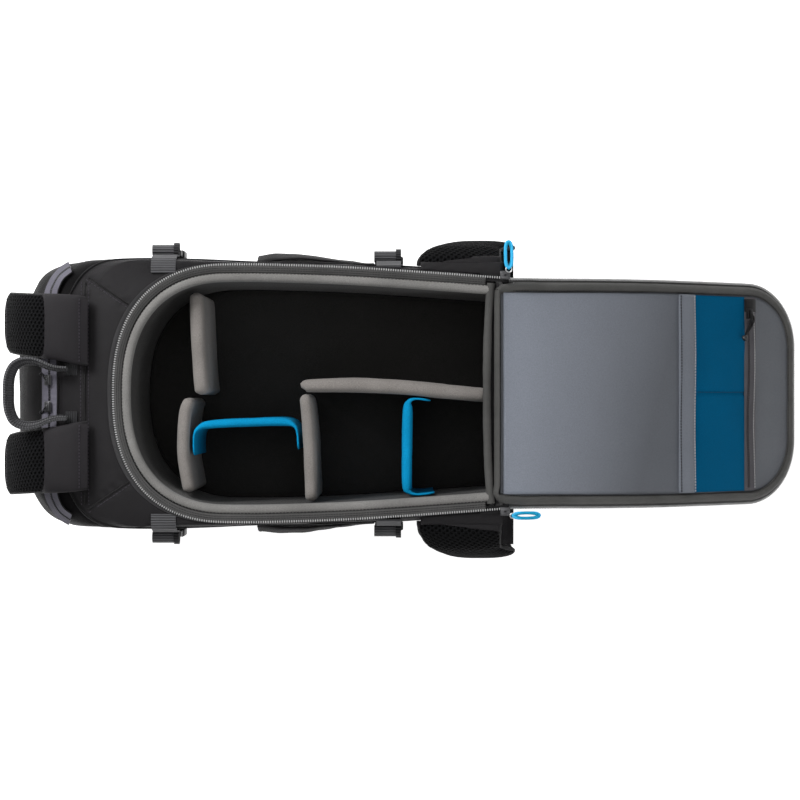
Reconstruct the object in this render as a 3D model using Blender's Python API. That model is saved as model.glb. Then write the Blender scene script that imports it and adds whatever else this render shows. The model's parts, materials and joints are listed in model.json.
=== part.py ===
"""Rear-access camera backpack, lying on its front with the back lid open over the bag's bottom end.

Frame: metres, +Z up. The origin is on the flat front face that the bag lies on, halfway along the
bag. +X runs from the shoulder-strap end to the lid's hinge, +Y is one side. All the numbers in the
tables below are millimetres, and new_mesh() turns them into metres.
"""

import math

import bmesh
import bpy
from mathutils import Matrix, Vector

MM = 0.001
GAP = 0.3  # clearance between pieces that touch

# ---- driving dimensions of the bag's body -----------------------------------------------------
POCKET_TOP = 40.0  # top of the flattened front pocket
PANEL_TOP = 52.0  # top of the front panel, which carries the padded floor
WALL_TOP = 196.0  # where the side panels meet the rear panel
REAR_TOP = 207.0  # top of the rear panel around the opening
FLOOR_TOP = 60.0  # top of the padded floor
LINER_TOP = 201.5  # top of the padded walls
BASE_WALL_TOP = 195.0  # the padded wall under the hinge is lower, so that the lid can turn
SEAM_X = -60.0  # the sides end here and the top compartment starts
HINGE_WALL_X = 226.0  # inner face of the cavity at the hinge end
BASE_X = 238.0  # the base panel starts here

# Ends of the body's outline at each height: (z, lowest x, highest x, share of the full half width).
SLICES = [
    (0, -20, 212, 0.80), (4, -46, 228, 0.86), (10, -78, 238, 0.90), (17, -115, 244, 0.935),
    (25, -158, 248, 0.955), (36, -194, 250, 0.975), (40, -203, 250, 0.98), (52, -219, 250, 0.99),
    (66, -231, 250, 1.0), (88, -243, 250, 1.01), (118, -247, 250, 1.02), (148, -245, 250, 1.02),
    (168, -236, 250, 1.015), (182, -223, 248.5, 1.01), (190, -211, 245, 1.005), (196, -198, 240, 1.0),
    (203, -178, 231, 0.993), (207, -160, 215, 0.982),
]
# Half width of the body at rim height, against x.
BODY_HALF_WIDTH = [
    (-250, 126), (-200, 128.5), (-150, 130.5), (-110, 131.5), (-60, 130.5), (0, 128), (60, 127.2),
    (140, 124), (200, 119.5), (250, 116),
]
TOP_CAP, BASE_CAP = 66.0, 26.0  # how far the outline's rounded ends reach
CAP_POWER = 2.9

# The U-shaped opening: the tooth line of the zip, from which the other lines are inset.
OPENING_HALF_WIDTH = [(-30, 126), (0, 126), (80, 123.5), (160, 118.5), (250, 112)]
OPENING_ARC_X, OPENING_ARC = -28.6, 115.0
OPENING_POWER = 2.4
TAPE_INNER, BINDING_INSET, BINDING_RADIUS = 8.5, 13.5, 4.5
LINER_OUTER, CAVITY = 9.1, 18.0

# ---- the lid ----------------------------------------------------------------------------------
LID_TILT = 32.2  # degrees below level when it lies open with its far end on the table
LID_LENGTH = 388.0
HINGE_X, HINGE_Z = 229.0, 215.5
LID_HALF_WIDTH = [(0, 108), (60, 109), (130, 110.8), (220, 112), (388, 111.5)]
LID_CORNER = 62.0
LID_BINDING = 4.2
LID_TAPE_START = 19.0  # the lid's half of the zip starts past the sliders

COLOURS = {
    "shell_fabric": ((0.035, 0.033, 0.036), 0.75, 0.0),
    "mesh_pad": ((0.02, 0.02, 0.021), 0.85, 0.0),
    "lining": ((0.22, 0.21, 0.2), 0.85, 0.0),
    "lid_lining": ((0.2, 0.22, 0.25), 0.6, 0.0),
    "pocket_film": ((0.25, 0.28, 0.32), 0.35, 0.0),
    "accent_blue": ((0.0, 0.23, 0.46), 0.7, 0.0),
    "binding": ((0.13, 0.13, 0.125), 0.8, 0.0),
    "zip_tape": ((0.1, 0.1, 0.1), 0.7, 0.0),
    "webbing": ((0.09, 0.09, 0.1), 0.75, 0.0),
    "buckle_plastic": ((0.025, 0.025, 0.027), 0.4, 0.0),
    "zip_metal": ((0.12, 0.12, 0.125), 0.35, 1.0),
    "cord_blue": ((0.03, 0.42, 0.75), 0.6, 0.0),
    "cord_black": ((0.012, 0.012, 0.013), 0.6, 0.0),
    "stiffener": ((0.55, 0.55, 0.52), 0.5, 0.0),
}


# ---- small helpers ----------------------------------------------------------------------------
def material(slot):
    found = bpy.data.materials.get(slot)
    if found:
        return found
    colour, roughness, metallic = COLOURS[slot]
    made = bpy.data.materials.new(slot)
    made.use_nodes = True
    shader = made.node_tree.nodes["Principled BSDF"]
    shader.inputs["Base Color"].default_value = (*colour, 1)
    shader.inputs["Roughness"].default_value = roughness
    shader.inputs["Metallic"].default_value = metallic
    made.diffuse_color = (*colour, 1)
    return made


def smooth_table(table, x):
    """The value at x of a smooth curve through a table of (x, value) rows."""
    if x <= table[0][0]:
        return table[0][1]
    if x >= table[-1][0]:
        return table[-1][1]
    i = max(k for k in range(len(table) - 1) if table[k][0] <= x)
    (x0, y0), (x1, y1) = table[i], table[i + 1]

    def slope(k):
        a, b = max(k - 1, 0), min(k + 1, len(table) - 1)
        return (table[b][1] - table[a][1]) / (table[b][0] - table[a][0])

    span, t = x1 - x0, (x - x0) / (x1 - x0)
    return (
        (2 * t**3 - 3 * t**2 + 1) * y0 + (t**3 - 2 * t**2 + t) * span * slope(i)
        + (3 * t**2 - 2 * t**3) * y1 + (t**3 - t**2) * span * slope(i + 1)
    )


def new_mesh(name, points, faces, slot, pivot=(0, 0, 0), frame=None):
    """A closed mesh from points in millimetres. pivot, in millimetres, becomes the object's origin."""
    mesh = bpy.data.meshes.new(name)
    origin = Vector(pivot) * MM
    mesh.from_pydata([Vector(p) * MM - origin for p in points], [], faces)
    mesh.materials.append(material(slot))
    made = bpy.data.objects.new(name, mesh)
    bpy.context.scene.collection.objects.link(made)
    made.location = origin
    made.parent = frame
    work = bmesh.new()
    work.from_mesh(mesh)
    bmesh.ops.recalc_face_normals(work, faces=work.faces)
    work.to_mesh(mesh)
    work.free()
    mesh.shade_smooth()
    mesh.set_sharp_from_angle(angle=math.radians(35))
    return made


def stacked(name, rings, slot, **place):
    """A solid skinned through rings that have the same number of points, capped at both ends."""
    count = len(rings[0])
    points = [p for ring in rings for p in ring]
    faces = [
        (r * count + k, r * count + (k + 1) % count, (r + 1) * count + (k + 1) % count, (r + 1) * count + k)
        for r in range(len(rings) - 1)
        for k in range(count)
    ]
    last = (len(rings) - 1) * count
    faces += [tuple(range(count)), tuple(last + k for k in reversed(range(count)))]
    return new_mesh(name, points, faces, slot, **place)


def prism(name, outline, low, high, slot, **place):
    """An outline of (x, y) points, extruded from one height to another."""
    return stacked(name, [[(x, y, z) for x, y in outline] for z in (low, high)], slot, **place)


def side_prism(name, outline, x0, x1, slot, **place):
    """An outline of (y, z) points, extruded along X."""
    return stacked(name, [[(x, y, z) for y, z in outline] for x in (x0, x1)], slot, **place)


def box(name, low, high, slot, bevel=0.0, **place):
    (x0, y0, z0), (x1, y1, z1) = low, high
    made = prism(name, [(x0, y0), (x1, y0), (x1, y1), (x0, y1)], z0, z1, slot, **place)
    if bevel:
        round_edges(made, bevel)
    return made


def round_edges(made, width, segments=2):
    bevel = made.modifiers.new("round_edges", "BEVEL")
    bevel.width = width * MM
    bevel.segments = segments
    bevel.limit_method = "ANGLE"
    bevel.angle_limit = math.radians(40)


def cut(made, cutter, operation="DIFFERENCE"):
    change = made.modifiers.new(operation.lower(), "BOOLEAN")
    change.operation = operation
    change.solver = "EXACT"
    change.object = cutter


def helper(made):
    """A cutter: kept out of the build and drawn as wire."""
    made.hide_render = True
    made.display_type = "WIRE"
    return made


def tube(name, path, radius, slot, closed=False, sides=2, pivot=(0, 0, 0), frame=None):
    """A round cord or roll of binding along points in millimetres."""
    curve = bpy.data.curves.new(name, "CURVE")
    curve.dimensions = "3D"
    curve.bevel_depth = radius * MM
    curve.bevel_resolution = sides
    curve.use_fill_caps = not closed
    origin = Vector(pivot) * MM
    line = curve.splines.new("POLY")
    line.points.add(len(path) - 1)
    for spot, p in zip(line.points, path):
        spot.co = (*(Vector(p) * MM - origin), 1)
    line.use_cyclic_u = closed
    curve.materials.append(material(slot))
    made = bpy.data.objects.new(name, curve)
    bpy.context.scene.collection.objects.link(made)
    made.location = origin
    made.parent = frame
    return made


def ribbon(stations):
    """The plan outline of a strip whose centre line is (x, y, thickness) stations."""
    left, right = [], []
    for i, (x, y, thick) in enumerate(stations):
        a, b = stations[max(i - 1, 0)], stations[min(i + 1, len(stations) - 1)]
        along = Vector((b[0] - a[0], b[1] - a[1])).normalized()
        side = Vector((-along.y, along.x)) * thick / 2
        left.append((x + side.x, y + side.y))
        right.append((x - side.x, y - side.y))
    return left + right[::-1]


def strap_rings(stations, across, edge=0.32):
    """Rings for a padded strap. stations: (a, b, thickness, low side, high side), with (a, b) in the
    plane that the strap bends in; across(a, b, s) puts a point at s along the strap's width."""
    rings = []
    for i, (a, b, thick, low, high) in enumerate(stations):
        p, q = stations[max(i - 1, 0)], stations[min(i + 1, len(stations) - 1)]
        along = Vector((q[0] - p[0], q[1] - p[1])).normalized()
        up = Vector((-along.y, along.x)) * thick / 2
        round_in = min(thick * edge, (high - low) / 3)
        ring = []
        for share, s in ((-0.45, low), (0.45, low), (1, low + round_in), (1, high - round_in),
                         (0.45, high), (-0.45, high), (-1, high - round_in), (-1, low + round_in)):
            ring.append(across(a + up.x * share, b + up.y * share, s))
        rings.append(ring)
    return rings


# ---- outlines ---------------------------------------------------------------------------------
def slice_at(z):
    """(lowest x, highest x, share of the half width) of the body at this height."""
    return tuple(smooth_table([(row[0], row[k]) for row in SLICES], z) for k in (1, 2, 3))


def cap(share):
    return max(0.0, 1 - share**CAP_POWER) ** (1 / CAP_POWER)


def body_half_width(x, z):
    """How far the body reaches in Y at a point along its length, at this height."""
    low, high, share = slice_at(z)
    width = smooth_table(BODY_HALF_WIDTH, x) * share
    if x < low + TOP_CAP:
        width *= cap(min(1.0, (low + TOP_CAP - x) / TOP_CAP))
    if x > high - BASE_CAP:
        width *= cap(min(1.0, (x - high + BASE_CAP) / BASE_CAP))
    return width


def body_outline(z, steps=7):
    """The body's plan outline at this height, as a closed ring of (x, y)."""
    low, high, _ = slice_at(z)
    turns = [math.pi / 2 * k / steps for k in range(steps + 1)]
    power = 2 / CAP_POWER
    top = [low + TOP_CAP * (1 - math.cos(t) ** power) for t in turns]
    base = [high - BASE_CAP * (1 - math.sin(t) ** power) for t in turns]
    middle = [top[-1] + (base[0] - top[-1]) * k / 6 for k in range(1, 6)]
    stations = top[1:] + middle + base[:-1]
    upper = [(x, body_half_width(x, z)) for x in stations]
    lower = [(x, -y) for x, y in reversed(upper)]
    return [(low, 0)] + upper + [(high, 0)] + lower


def body_rings(low, high):
    heights = [low] + [row[0] for row in SLICES if low + 1 < row[0] < high - 1] + [high]
    return [[(x, y, z) for x, y in body_outline(z)] for z in heights]


def opening_line(inset, x_end, steps=9):
    """Half of the U-shaped opening's line, from the hinge end to the middle of its curved end."""
    straight = [x_end + (OPENING_ARC_X - x_end) * k / 6 for k in range(6)]
    line = [(x, smooth_table(OPENING_HALF_WIDTH, x) - inset) for x in straight]
    power = 2 / OPENING_POWER
    half = OPENING_HALF_WIDTH[0][1] - inset
    for k in range(steps + 1):
        turn = math.pi / 2 * k / steps
        line.append((OPENING_ARC_X - (OPENING_ARC - inset) * math.sin(turn) ** power,
                     half * max(math.cos(turn), 0) ** power))
    return line


def opening_u(inset, x_end):
    """The whole U, from one side of the hinge end round to the other."""
    half = opening_line(inset, x_end)
    return half + [(x, -y) for x, y in reversed(half[:-1])]


def u_band(outer_inset, inner_inset, x_end):
    return opening_u(outer_inset, x_end) + opening_u(inner_inset, x_end)[::-1]


def body_top(x, y):
    """Height of the bag's upper surface above a point near its rounded top end."""
    low, high = 118.0, REAR_TOP
    if body_half_width(x, high) >= abs(y) and slice_at(high)[0] < x:
        return high
    for _ in range(30):
        middle = (low + high) / 2
        inside = slice_at(middle)[0] < x and body_half_width(x, middle) > abs(y)
        low, high = (middle, high) if inside else (low, middle)
    return low


# ---- the bag's body ---------------------------------------------------------------------------
def make_shell():
    stacked("front_pocket", body_rings(0, POCKET_TOP), "shell_fabric")
    stacked("front_panel", body_rings(POCKET_TOP + GAP, PANEL_TOP), "shell_fabric")
    low, high = PANEL_TOP + GAP, WALL_TOP
    well = helper(prism("well_cutter", opening_u(LINER_OUTER - GAP, BASE_X), low - 5, high + 5, "lining"))
    regions = {
        "top_compartment": ((-300, -200), (SEAM_X - GAP, 200)),
        "side_panel_left": ((SEAM_X, 1), (BASE_X - GAP, 200)),
        "side_panel_right": ((SEAM_X, -200), (BASE_X - GAP, -1)),
        "base_panel": ((BASE_X, -200), (300, 200)),
    }
    for name, ((x0, y0), (x1, y1)) in regions.items():
        panel = stacked(name, body_rings(low, high), "shell_fabric")
        region = helper(box(name + "_region", (x0, y0, low - 3), (x1, y1, high + 3), "lining"))
        cut(panel, region, "INTERSECT")
        if name != "base_panel":
            cut(panel, well)
    rear = stacked("rear_panel", body_rings(WALL_TOP + GAP, REAR_TOP), "shell_fabric")
    hole = helper(prism("rear_cutter", opening_u(TAPE_INNER + GAP, HINGE_WALL_X), 190, 215, "lining"))
    cut(rear, hole)


def make_liner():
    low, high = PANEL_TOP + GAP, LINER_TOP
    prism("liner_floor", opening_u(CAVITY + GAP, HINGE_WALL_X - GAP), low, FLOOR_TOP, "lining")
    regions = {
        "liner_side_left": ((SEAM_X + GAP, 1), (300, 200)),
        "liner_side_right": ((SEAM_X + GAP, -200), (300, -1)),
        "liner_top_wall": ((-300, -200), (SEAM_X, 200)),
    }
    notch = helper(box("base_notch", (222, -150, BASE_WALL_TOP), (260, 150, 230), "lining"))
    for name, ((x0, y0), (x1, y1)) in regions.items():
        wall = prism(name, u_band(LINER_OUTER, CAVITY, BASE_X - GAP), low, high, "lining")
        region = helper(box(name + "_region", (x0, y0, low - 3), (x1, y1, high + 3), "lining"))
        cut(wall, region, "INTERSECT")
        if name != "liner_top_wall":
            cut(wall, notch)
    end = smooth_table(OPENING_HALF_WIDTH, HINGE_WALL_X) - CAVITY - 1.2
    box("liner_base_wall", (HINGE_WALL_X, -end, low), (BASE_X - GAP, end, BASE_WALL_TOP), "lining")


def both_sides(half):
    """A line's points, then their mirror image back from the last of them."""
    return half + [(x, -y) for x, y in reversed(half[:-1])]


def make_rim():
    tape = prism("rim_zip_tape", u_band(0.5, TAPE_INNER, 240), REAR_TOP + GAP, REAR_TOP + 2, "zip_tape")
    clear = LID_HALF_WIDTH[0][1] + 0.8
    cut(tape, helper(box("lid_corner_room", (222, -clear, 200), (250, clear, 215), "zip_tape")))
    path = [(x, y, REAR_TOP - 0.5) for x, y in opening_u(BINDING_INSET, HINGE_WALL_X - 2)]
    tube("rim_binding", path, BINDING_RADIUS, "binding", sides=2)


POCKET_CURVE = [(-5, 140), (15, 142), (40, 141), (70, 136.5), (100, 132.5), (110, 131.8)]
POCKET_LOW, POCKET_HIGH, POCKET_WALL = 30.0, 165.0, 2.4


def make_side_pockets():
    """Flat stretch pockets with their mouths towards the shoulder straps."""
    stations = [-5, 5, 15, 28, 40, 55, 70, 85, 100, 110]
    inner = [(x, smooth_table(BODY_HALF_WIDTH, x) * 1.021 + 0.5) for x in stations]
    outer = [(x, smooth_table(POCKET_CURVE, x)) for x in stations]
    outer[-1] = (110, inner[-1][1] + POCKET_WALL)
    hollow_outer = [(x, y - POCKET_WALL) for x, y in outer[:-3]]
    hollow = [(-12, hollow_outer[0][1]), *hollow_outer, (inner[-3][0], inner[-3][1] + 0.2),
              (85, 120), (-12, 120)]
    for name, sign in (("side_pocket_left", 1), ("side_pocket_right", -1)):
        outline = [(x, sign * y) for x, y in inner + outer[::-1]]
        pocket = prism(name, outline, POCKET_LOW, POCKET_HIGH, "shell_fabric")
        cutter = prism(name + "_hollow", [(x, sign * y) for x, y in hollow],
                       POCKET_LOW + POCKET_WALL, POCKET_HIGH - POCKET_WALL, "lining")
        cut(pocket, helper(cutter))


TOP_ZIP_X = -206.0
TOP_ZIP_SLOPE = 0.5  # how the body rises towards the opening there
TOP_ZIP = [(-187, 123), (-196, 117), (-202, 108.5), (TOP_ZIP_X, 95), (TOP_ZIP_X - 1, 60), (TOP_ZIP_X, 0)]


def make_top_zip():
    """The zip of the top compartment, lying on the bag's curved end."""
    half = [Vector((x, y, body_top(x, y))) for x, y in TOP_ZIP]
    path = half + [Vector((p.x, -p.y, p.z)) for p in reversed(half[:-1])]
    rings = []
    for i, p in enumerate(path):
        along = (path[min(i + 1, len(path) - 1)] - path[max(i - 1, 0)]).normalized()
        slope_x = (body_top(p.x + 3, p.y * 0.985) - body_top(p.x - 3, p.y * 0.985)) / 6
        slope_y = (body_top(p.x + 2, p.y * 0.98 + 1) - body_top(p.x + 2, p.y * 0.98 - 1)) / 2
        up = Vector((-slope_x, -slope_y, 1)).normalized()
        across = along.cross(up).normalized()
        up = across.cross(along).normalized()
        lift, half_width = 1.2, 8.0
        corners = ((-1, lift), (1, lift), (1, lift + 1.5), (-1, lift + 1.5))
        rings.append([p + across * half_width * s + up * h for s, h in corners])
    stacked("top_zip_tape", rings, "zip_tape")


# ---- dividers ---------------------------------------------------------------------------------
DIVIDERS = {
    "divider_top_left": ("lining", 190, [(-64.5, 99, 13), (-63.5, 80, 15), (-61, 30, 15), (-58.5, -1, 15)]),
    "divider_top_right": ("lining", 189, [(-70.5, -5, 11), (-75, -18, 13), (-77, -42, 13), (-76.5, -65, 13),
                                          (-71, -97, 13)]),
    "divider_blue_bracket": ("accent_blue", 186, [
        (-66.5, -61, 2), (-66.5, -42, 2), (-62, -34, 4.5), (-50, -30.5, 8.5), (-10, -28.5, 8.5),
        (20, -28, 8.5), (31, -31, 4.5), (34.8, -38, 2), (36, -55, 2)]),
    "divider_middle": ("lining", 190, [(40, 5, 9), (47, 7.5, 13), (90, 8.2, 15), (136, 6.2, 15),
                                       (180, 2, 15), (223, -2, 14)]),
    "divider_lens_grey": ("lining", 189, [(42, -4, 9), (44, -13, 12.5), (47, -50, 13), (49, -106, 13)]),
    "divider_lens_blue": ("accent_blue", 187, [
        (166, -7, 2), (152, -5.4, 2), (145, -8, 5), (143.5, -17, 10), (143, -50, 10.5), (143, -90, 10),
        (145, -96.5, 5), (152, -99.3, 2), (170, -97.9, 2)]),
}


def make_dividers():
    for name, (slot, top, stations) in DIVIDERS.items():
        middle = stations[len(stations) // 2]
        prism(name, ribbon(stations), FLOOR_TOP + GAP, top, slot, pivot=(middle[0], middle[1], FLOOR_TOP))


# ---- the lid: local x runs from the hinge, local z is the lid's inner side --------------------
LAYER_INSET = 9.0
LINING_W, STIFFENER_W, COVER_W, PAD_W = (-6.0, -2.0), (-8.0, -6.3), (-13.0, -8.3), (-27.0, -13.3)
FILM_U, HEM_U, BLUE_U, ZIP_U = (10.0, 229.0), (229.0, 250.0), (251.0, 314.5), (315.5, 331.0)


def lid_outline(start, inset, end=None, steps=8):
    """The lid's outline, inset from its outer edge: square at the hinge, rounded at the far end."""
    far = LID_LENGTH - inset
    radius = LID_CORNER - inset
    stop = far if end is None else end
    stations = [start, 60, 120, 180, 240, far - radius]
    half = [(u, smooth_table(LID_HALF_WIDTH, u) - inset) for u in stations if start <= u < stop]
    if end is not None and end <= far - radius:
        half.append((end, smooth_table(LID_HALF_WIDTH, end) - inset))
    else:
        side = smooth_table(LID_HALF_WIDTH, far - radius) - inset - radius
        for k in range(1, steps + 1):
            turn = math.pi / 2 * k / steps
            u = far - radius + radius * math.sin(turn)
            if u > stop:
                break
            half.append((u, side + radius * math.cos(turn)))
        if end is not None:
            reach = math.sqrt(max(radius**2 - (end - far + radius) ** 2, 0))
            half.append((end, side + reach))
    return half + [(u, -v) for u, v in reversed(half)]


def band_between(u0, u1, inset):
    """A straight strip right across the lid's inner side."""
    clear = LID_LENGTH - LID_CORNER
    stations = sorted({u0, u1, *(u for u in (120.0, 180.0, clear) if u0 < u < u1)})

    def half(u):
        width = smooth_table(LID_HALF_WIDTH, min(u, clear)) - inset
        if u <= clear:
            return width
        radius = LID_CORNER - inset
        return width - radius + math.sqrt(max(radius**2 - (u - clear) ** 2, 0))

    return [(u, half(u)) for u in stations] + [(u, -half(u)) for u in reversed(stations)]


def make_lid():
    frame = bpy.data.objects.new("lid_frame", None)
    bpy.context.scene.collection.objects.link(frame)
    frame.location = (HINGE_X * MM, 0, HINGE_Z * MM)
    frame.rotation_euler = (0, math.radians(LID_TILT), 0)
    prism("lid_lining", lid_outline(9.5, LAYER_INSET), *LINING_W, "lid_lining", frame=frame)
    prism("lid_stiffener", lid_outline(38, LAYER_INSET + 4), *STIFFENER_W, "stiffener", frame=frame)
    cover = prism("lid_cover", lid_outline(36, LAYER_INSET - 4.5), *COVER_W, "shell_fabric", frame=frame)
    round_edges(cover, 1.6, 2)
    edge = lid_outline(LID_BINDING, LID_BINDING)
    w_binding = -LID_BINDING - 0.3
    tube("lid_binding", [(u, v, w_binding) for u, v in edge], LID_BINDING, "binding", closed=True,
         frame=frame)
    outer = lid_outline(LID_TAPE_START, -4.0)
    inner = lid_outline(LID_TAPE_START, -0.4)
    prism("lid_zip_tape", outer + inner[::-1], -6.6, -5.2, "zip_tape", frame=frame)
    low = LINING_W[1] + GAP
    hem_low, hem_high = HEM_U
    rings = []
    for u, top in ((FILM_U[0], low + 1.1), (hem_low - 3, low + 1.1), (hem_low + 2, low + 2.4),
                   (hem_high, low + 2.4)):
        half = smooth_table(LID_HALF_WIDTH, u) - LAYER_INSET - 1
        rings.append([(u, -half, low), (u, half, low), (u, half, top), (u, -half, top)])
    stacked("lid_film_pocket", rings, "pocket_film", frame=frame)
    prism("lid_blue_pocket", band_between(*BLUE_U, LAYER_INSET + 1), low, low + 1.4, "accent_blue",
          frame=frame)
    prism("lid_pocket_zip", band_between(*ZIP_U, LAYER_INSET + 1), low, low + 1.1, "zip_tape", frame=frame)
    make_back_pads(frame)
    make_lid_slider(frame)


PAD_CORNER = 24.0


def make_back_pads(frame):
    """Padding on the lid's outer side, which lies against the wearer's back."""
    pads = {
        "lumbar_pad": (47, 124, -94, 94),
        "back_pad_left": (134, 360, 9, 90),
        "back_pad_right": (134, 360, -90, -9),
    }
    for name, (u0, u1, v0, v1) in pads.items():
        rings = []
        for w, inset in ((PAD_W[1], 3), (PAD_W[1] - 4, 0), (PAD_W[0] + 5, 1.5), (PAD_W[0] + 1.2, 8),
                         (PAD_W[0], 17)):
            outline = rounded_box(u0 + inset, u1 - inset, v0 + inset, v1 - inset, PAD_CORNER)
            rings.append([(u, v, w) for u, v in outline])
        stacked(name, rings, "mesh_pad", frame=frame)


def rounded_box(u0, u1, v0, v1, radius, steps=3):
    points = []
    corners = ((u1, v1, 0), (u0, v1, 90), (u0, v0, 180), (u1, v0, 270))
    for u, v, start in corners:
        middle_u = u - radius if u == u1 else u + radius
        middle_v = v - radius if v == v1 else v + radius
        for k in range(steps + 1):
            turn = math.radians(start + 90 * k / steps)
            points.append((middle_u + radius * math.cos(turn), middle_v + radius * math.sin(turn)))
    return points


LID_SLIDER = (323.0, 84.0)


def make_lid_slider(frame):
    u, v = LID_SLIDER
    low = LINING_W[1] + GAP + 1.1 + GAP
    pivot = (u, v, low + 3)
    box("lid_zip_slider", (u - 4, v - 6, low), (u + 4, v + 6, low + 4), "zip_metal", 0.8, pivot=pivot,
        frame=frame)
    height = low + 4 + 2.2
    path = [(u, v - 1, height), (u - 2, v - 9, height), (u - 7, v - 18, height), (u - 10, v - 28, height)]
    tube("lid_zip_pull", path, 1.9, "cord_black", sides=1, pivot=(u, v - 1, height), frame=frame)


# ---- zip sliders and pulls --------------------------------------------------------------------
MAIN_SLIDER = (238.0, 114.6)
MAIN_SLIDER_Z = (REAR_TOP + 2 + GAP, REAR_TOP + 7.8)
PULL_Z = 213.0


def make_main_sliders():
    """The left slider's cord loop lies outwards over the hip belt, the right one's lies along the bag."""
    x, y = MAIN_SLIDER
    for side, sign in (("left", 1), ("right", -1)):
        low, high = sorted((sign * (y - 4.4), sign * (y + 4.4)))
        box(f"main_slider_{side}", (x - 5, low, MAIN_SLIDER_Z[0]), (x + 5, high, MAIN_SLIDER_Z[1]),
            "zip_metal", 0.9, pivot=(x, sign * y, MAIN_SLIDER_Z[0]))
    root_x, root_y = x + 3.5, y + 7.0
    left = [(root_x + across, root_y + out, z) for out, across, z in pull_loop(3.2)]
    tube("main_pull_left", left, 1.6, "cord_blue", closed=True, sides=1,
         pivot=(root_x, y + 5.2, PULL_Z + 2.5))
    root_x, root_y = x + 7.6, y + 4.0
    right = [(root_x + out, across - root_y, z) for out, across, z in pull_loop(2.6)]
    tube("main_pull_right", right, 1.6, "cord_blue", closed=True, sides=1,
         pivot=(x + 5.8, -root_y, PULL_Z + 2.5))


def pull_loop(half, reach=26.0):
    """A slim cord loop: (distance out, distance across, height) of its points, falling outwards."""
    points = []
    for k in range(16):
        turn = 2 * math.pi * k / 16
        out = (1 + math.copysign(abs(math.cos(turn)) ** 0.55, math.cos(turn))) * reach / 2
        points.append((out, half * math.sin(turn), PULL_Z - 5.0 * (out / reach) ** 1.5))
    return points


def make_top_sliders():
    """Two sliders of the top compartment's zip, each with its knotted cord."""
    for side, sign in (("left", 1), ("right", -1)):
        y = 13.0
        base = body_top(TOP_ZIP_X, y) + 1.2 + 1.5 + GAP + 0.6
        rings = []
        for s, half, high in ((y - 5.5, 3.6, 3.6), (y - 4.5, 4.2, 4.4), (y + 4.5, 4.2, 4.4),
                              (y + 5.5, 3.6, 3.6)):
            ring = [(TOP_ZIP_X - half, base), (TOP_ZIP_X + half, base), (TOP_ZIP_X + half, base + high),
                    (TOP_ZIP_X - half, base + high)]
            rings.append([(x, sign * s, z + TOP_ZIP_SLOPE * (x - TOP_ZIP_X)) for x, z in ring])
        stacked(f"top_slider_{side}", rings, "zip_metal", pivot=(TOP_ZIP_X, sign * y, base))


def make_front_slider():
    x, z, y = 150.0, 27.0, 120.4
    box("front_zip_slider", (x - 7, y, z - 4), (x + 7, y + 5, z + 4), "zip_metal", 0.9, pivot=(x, y, z))


# ---- straps, handle, hip belt and buckles -----------------------------------------------------
STRAP_AXIS = (-166.0, 209.0)
STRAP_PATH = [  # x, z, thickness, distance of the strap's middle from the bag's middle, width
    (-167, 211.2, 4.6, 60, 67), (-180, 212.3, 7, 62, 67), (-198, 210.3, 10, 64.5, 64),
    (-218, 202.5, 12.5, 66, 63), (-236, 187.5, 13, 68, 62), (-248.5, 166, 13, 70, 61),
    (-254.2, 140, 13, 71, 61), (-254.8, 112, 13, 71.5, 60), (-251, 84, 13, 72, 60),
    (-240.5, 59, 13, 72, 60), (-222, 38, 13, 72, 58), (-197, 23.5, 13, 72, 56), (-172, 13.5, 12, 72, 52),
    (-154, 9, 9, 72, 44),
]


def make_shoulder_straps():
    for side, sign in (("left", 1), ("right", -1)):
        stations = [(x, z, t, middle - width / 2, middle + width / 2)
                    for x, z, t, middle, width in STRAP_PATH]
        rings = strap_rings(stations, lambda x, z, s, sign=sign: (x, sign * s, z))
        stacked(f"shoulder_pad_{side}", rings, "mesh_pad", pivot=(STRAP_AXIS[0], 0, STRAP_AXIS[1]))
        x0 = STRAP_PATH[-1][0] + 0.6
        roll = [(x0, 5), (x0, 10), (x0 + 16, 9), (x0 + 19, 10.5), (x0 + 24, 12), (x0 + 30, 11),
                (x0 + 33, 7), (x0 + 31, 2.6), (x0 + 24, 1), (x0 + 18, 2.5), (x0 + 15, 5)]
        rings = [[(x, sign * y, z) for x, z in roll] for y in (60, 84)]
        stacked(f"strap_adjuster_{side}", rings, "webbing", pivot=(STRAP_AXIS[0], 0, STRAP_AXIS[1]))


HANDLE_PATH = [(-187, 23.6), (-197, 24), (-206, 26.5), (-217, 31), (-229, 32), (-238.5, 27.5), (-243.5, 18),
               (-245, 8), (-245, 0)]
HANDLE_AXIS = (-188.0, 203.5)
WEBBING = 4.4  # thickness of the handle's doubled webbing
HANDLE_Z = (203.0, 218.0)


def make_handle():
    """A webbing loop standing out from the top end, between the shoulder straps."""
    stations = [(x, y, WEBBING) for x, y in both_sides(HANDLE_PATH)]
    prism("grab_handle", ribbon(stations), *HANDLE_Z, "webbing", pivot=(HANDLE_AXIS[0], 0, HANDLE_AXIS[1]))


HIP_AXIS = (123.5, 203.0)
HIP_PATH = [  # distance from the bag's middle, z, thickness, lowest x, highest x
    (124.5, 199.5, 6, 152, 235), (133, 197.5, 9, 153, 235), (143.5, 188.5, 12, 160, 235),
    (148, 179, 13, 166, 236), (151.5, 167, 14, 174, 250), (154, 150, 14, 181, 251),
    (153, 125, 14, 185, 250), (149, 100, 13, 188, 248),
    (143.5, 75, 12, 190, 244), (138, 52, 10, 192, 236), (135, 36, 7, 193, 232),
]
HIP_BULGE = {"left": 0.72, "right": 1.12}  # the wing on the left lies closer to the bag


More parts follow.
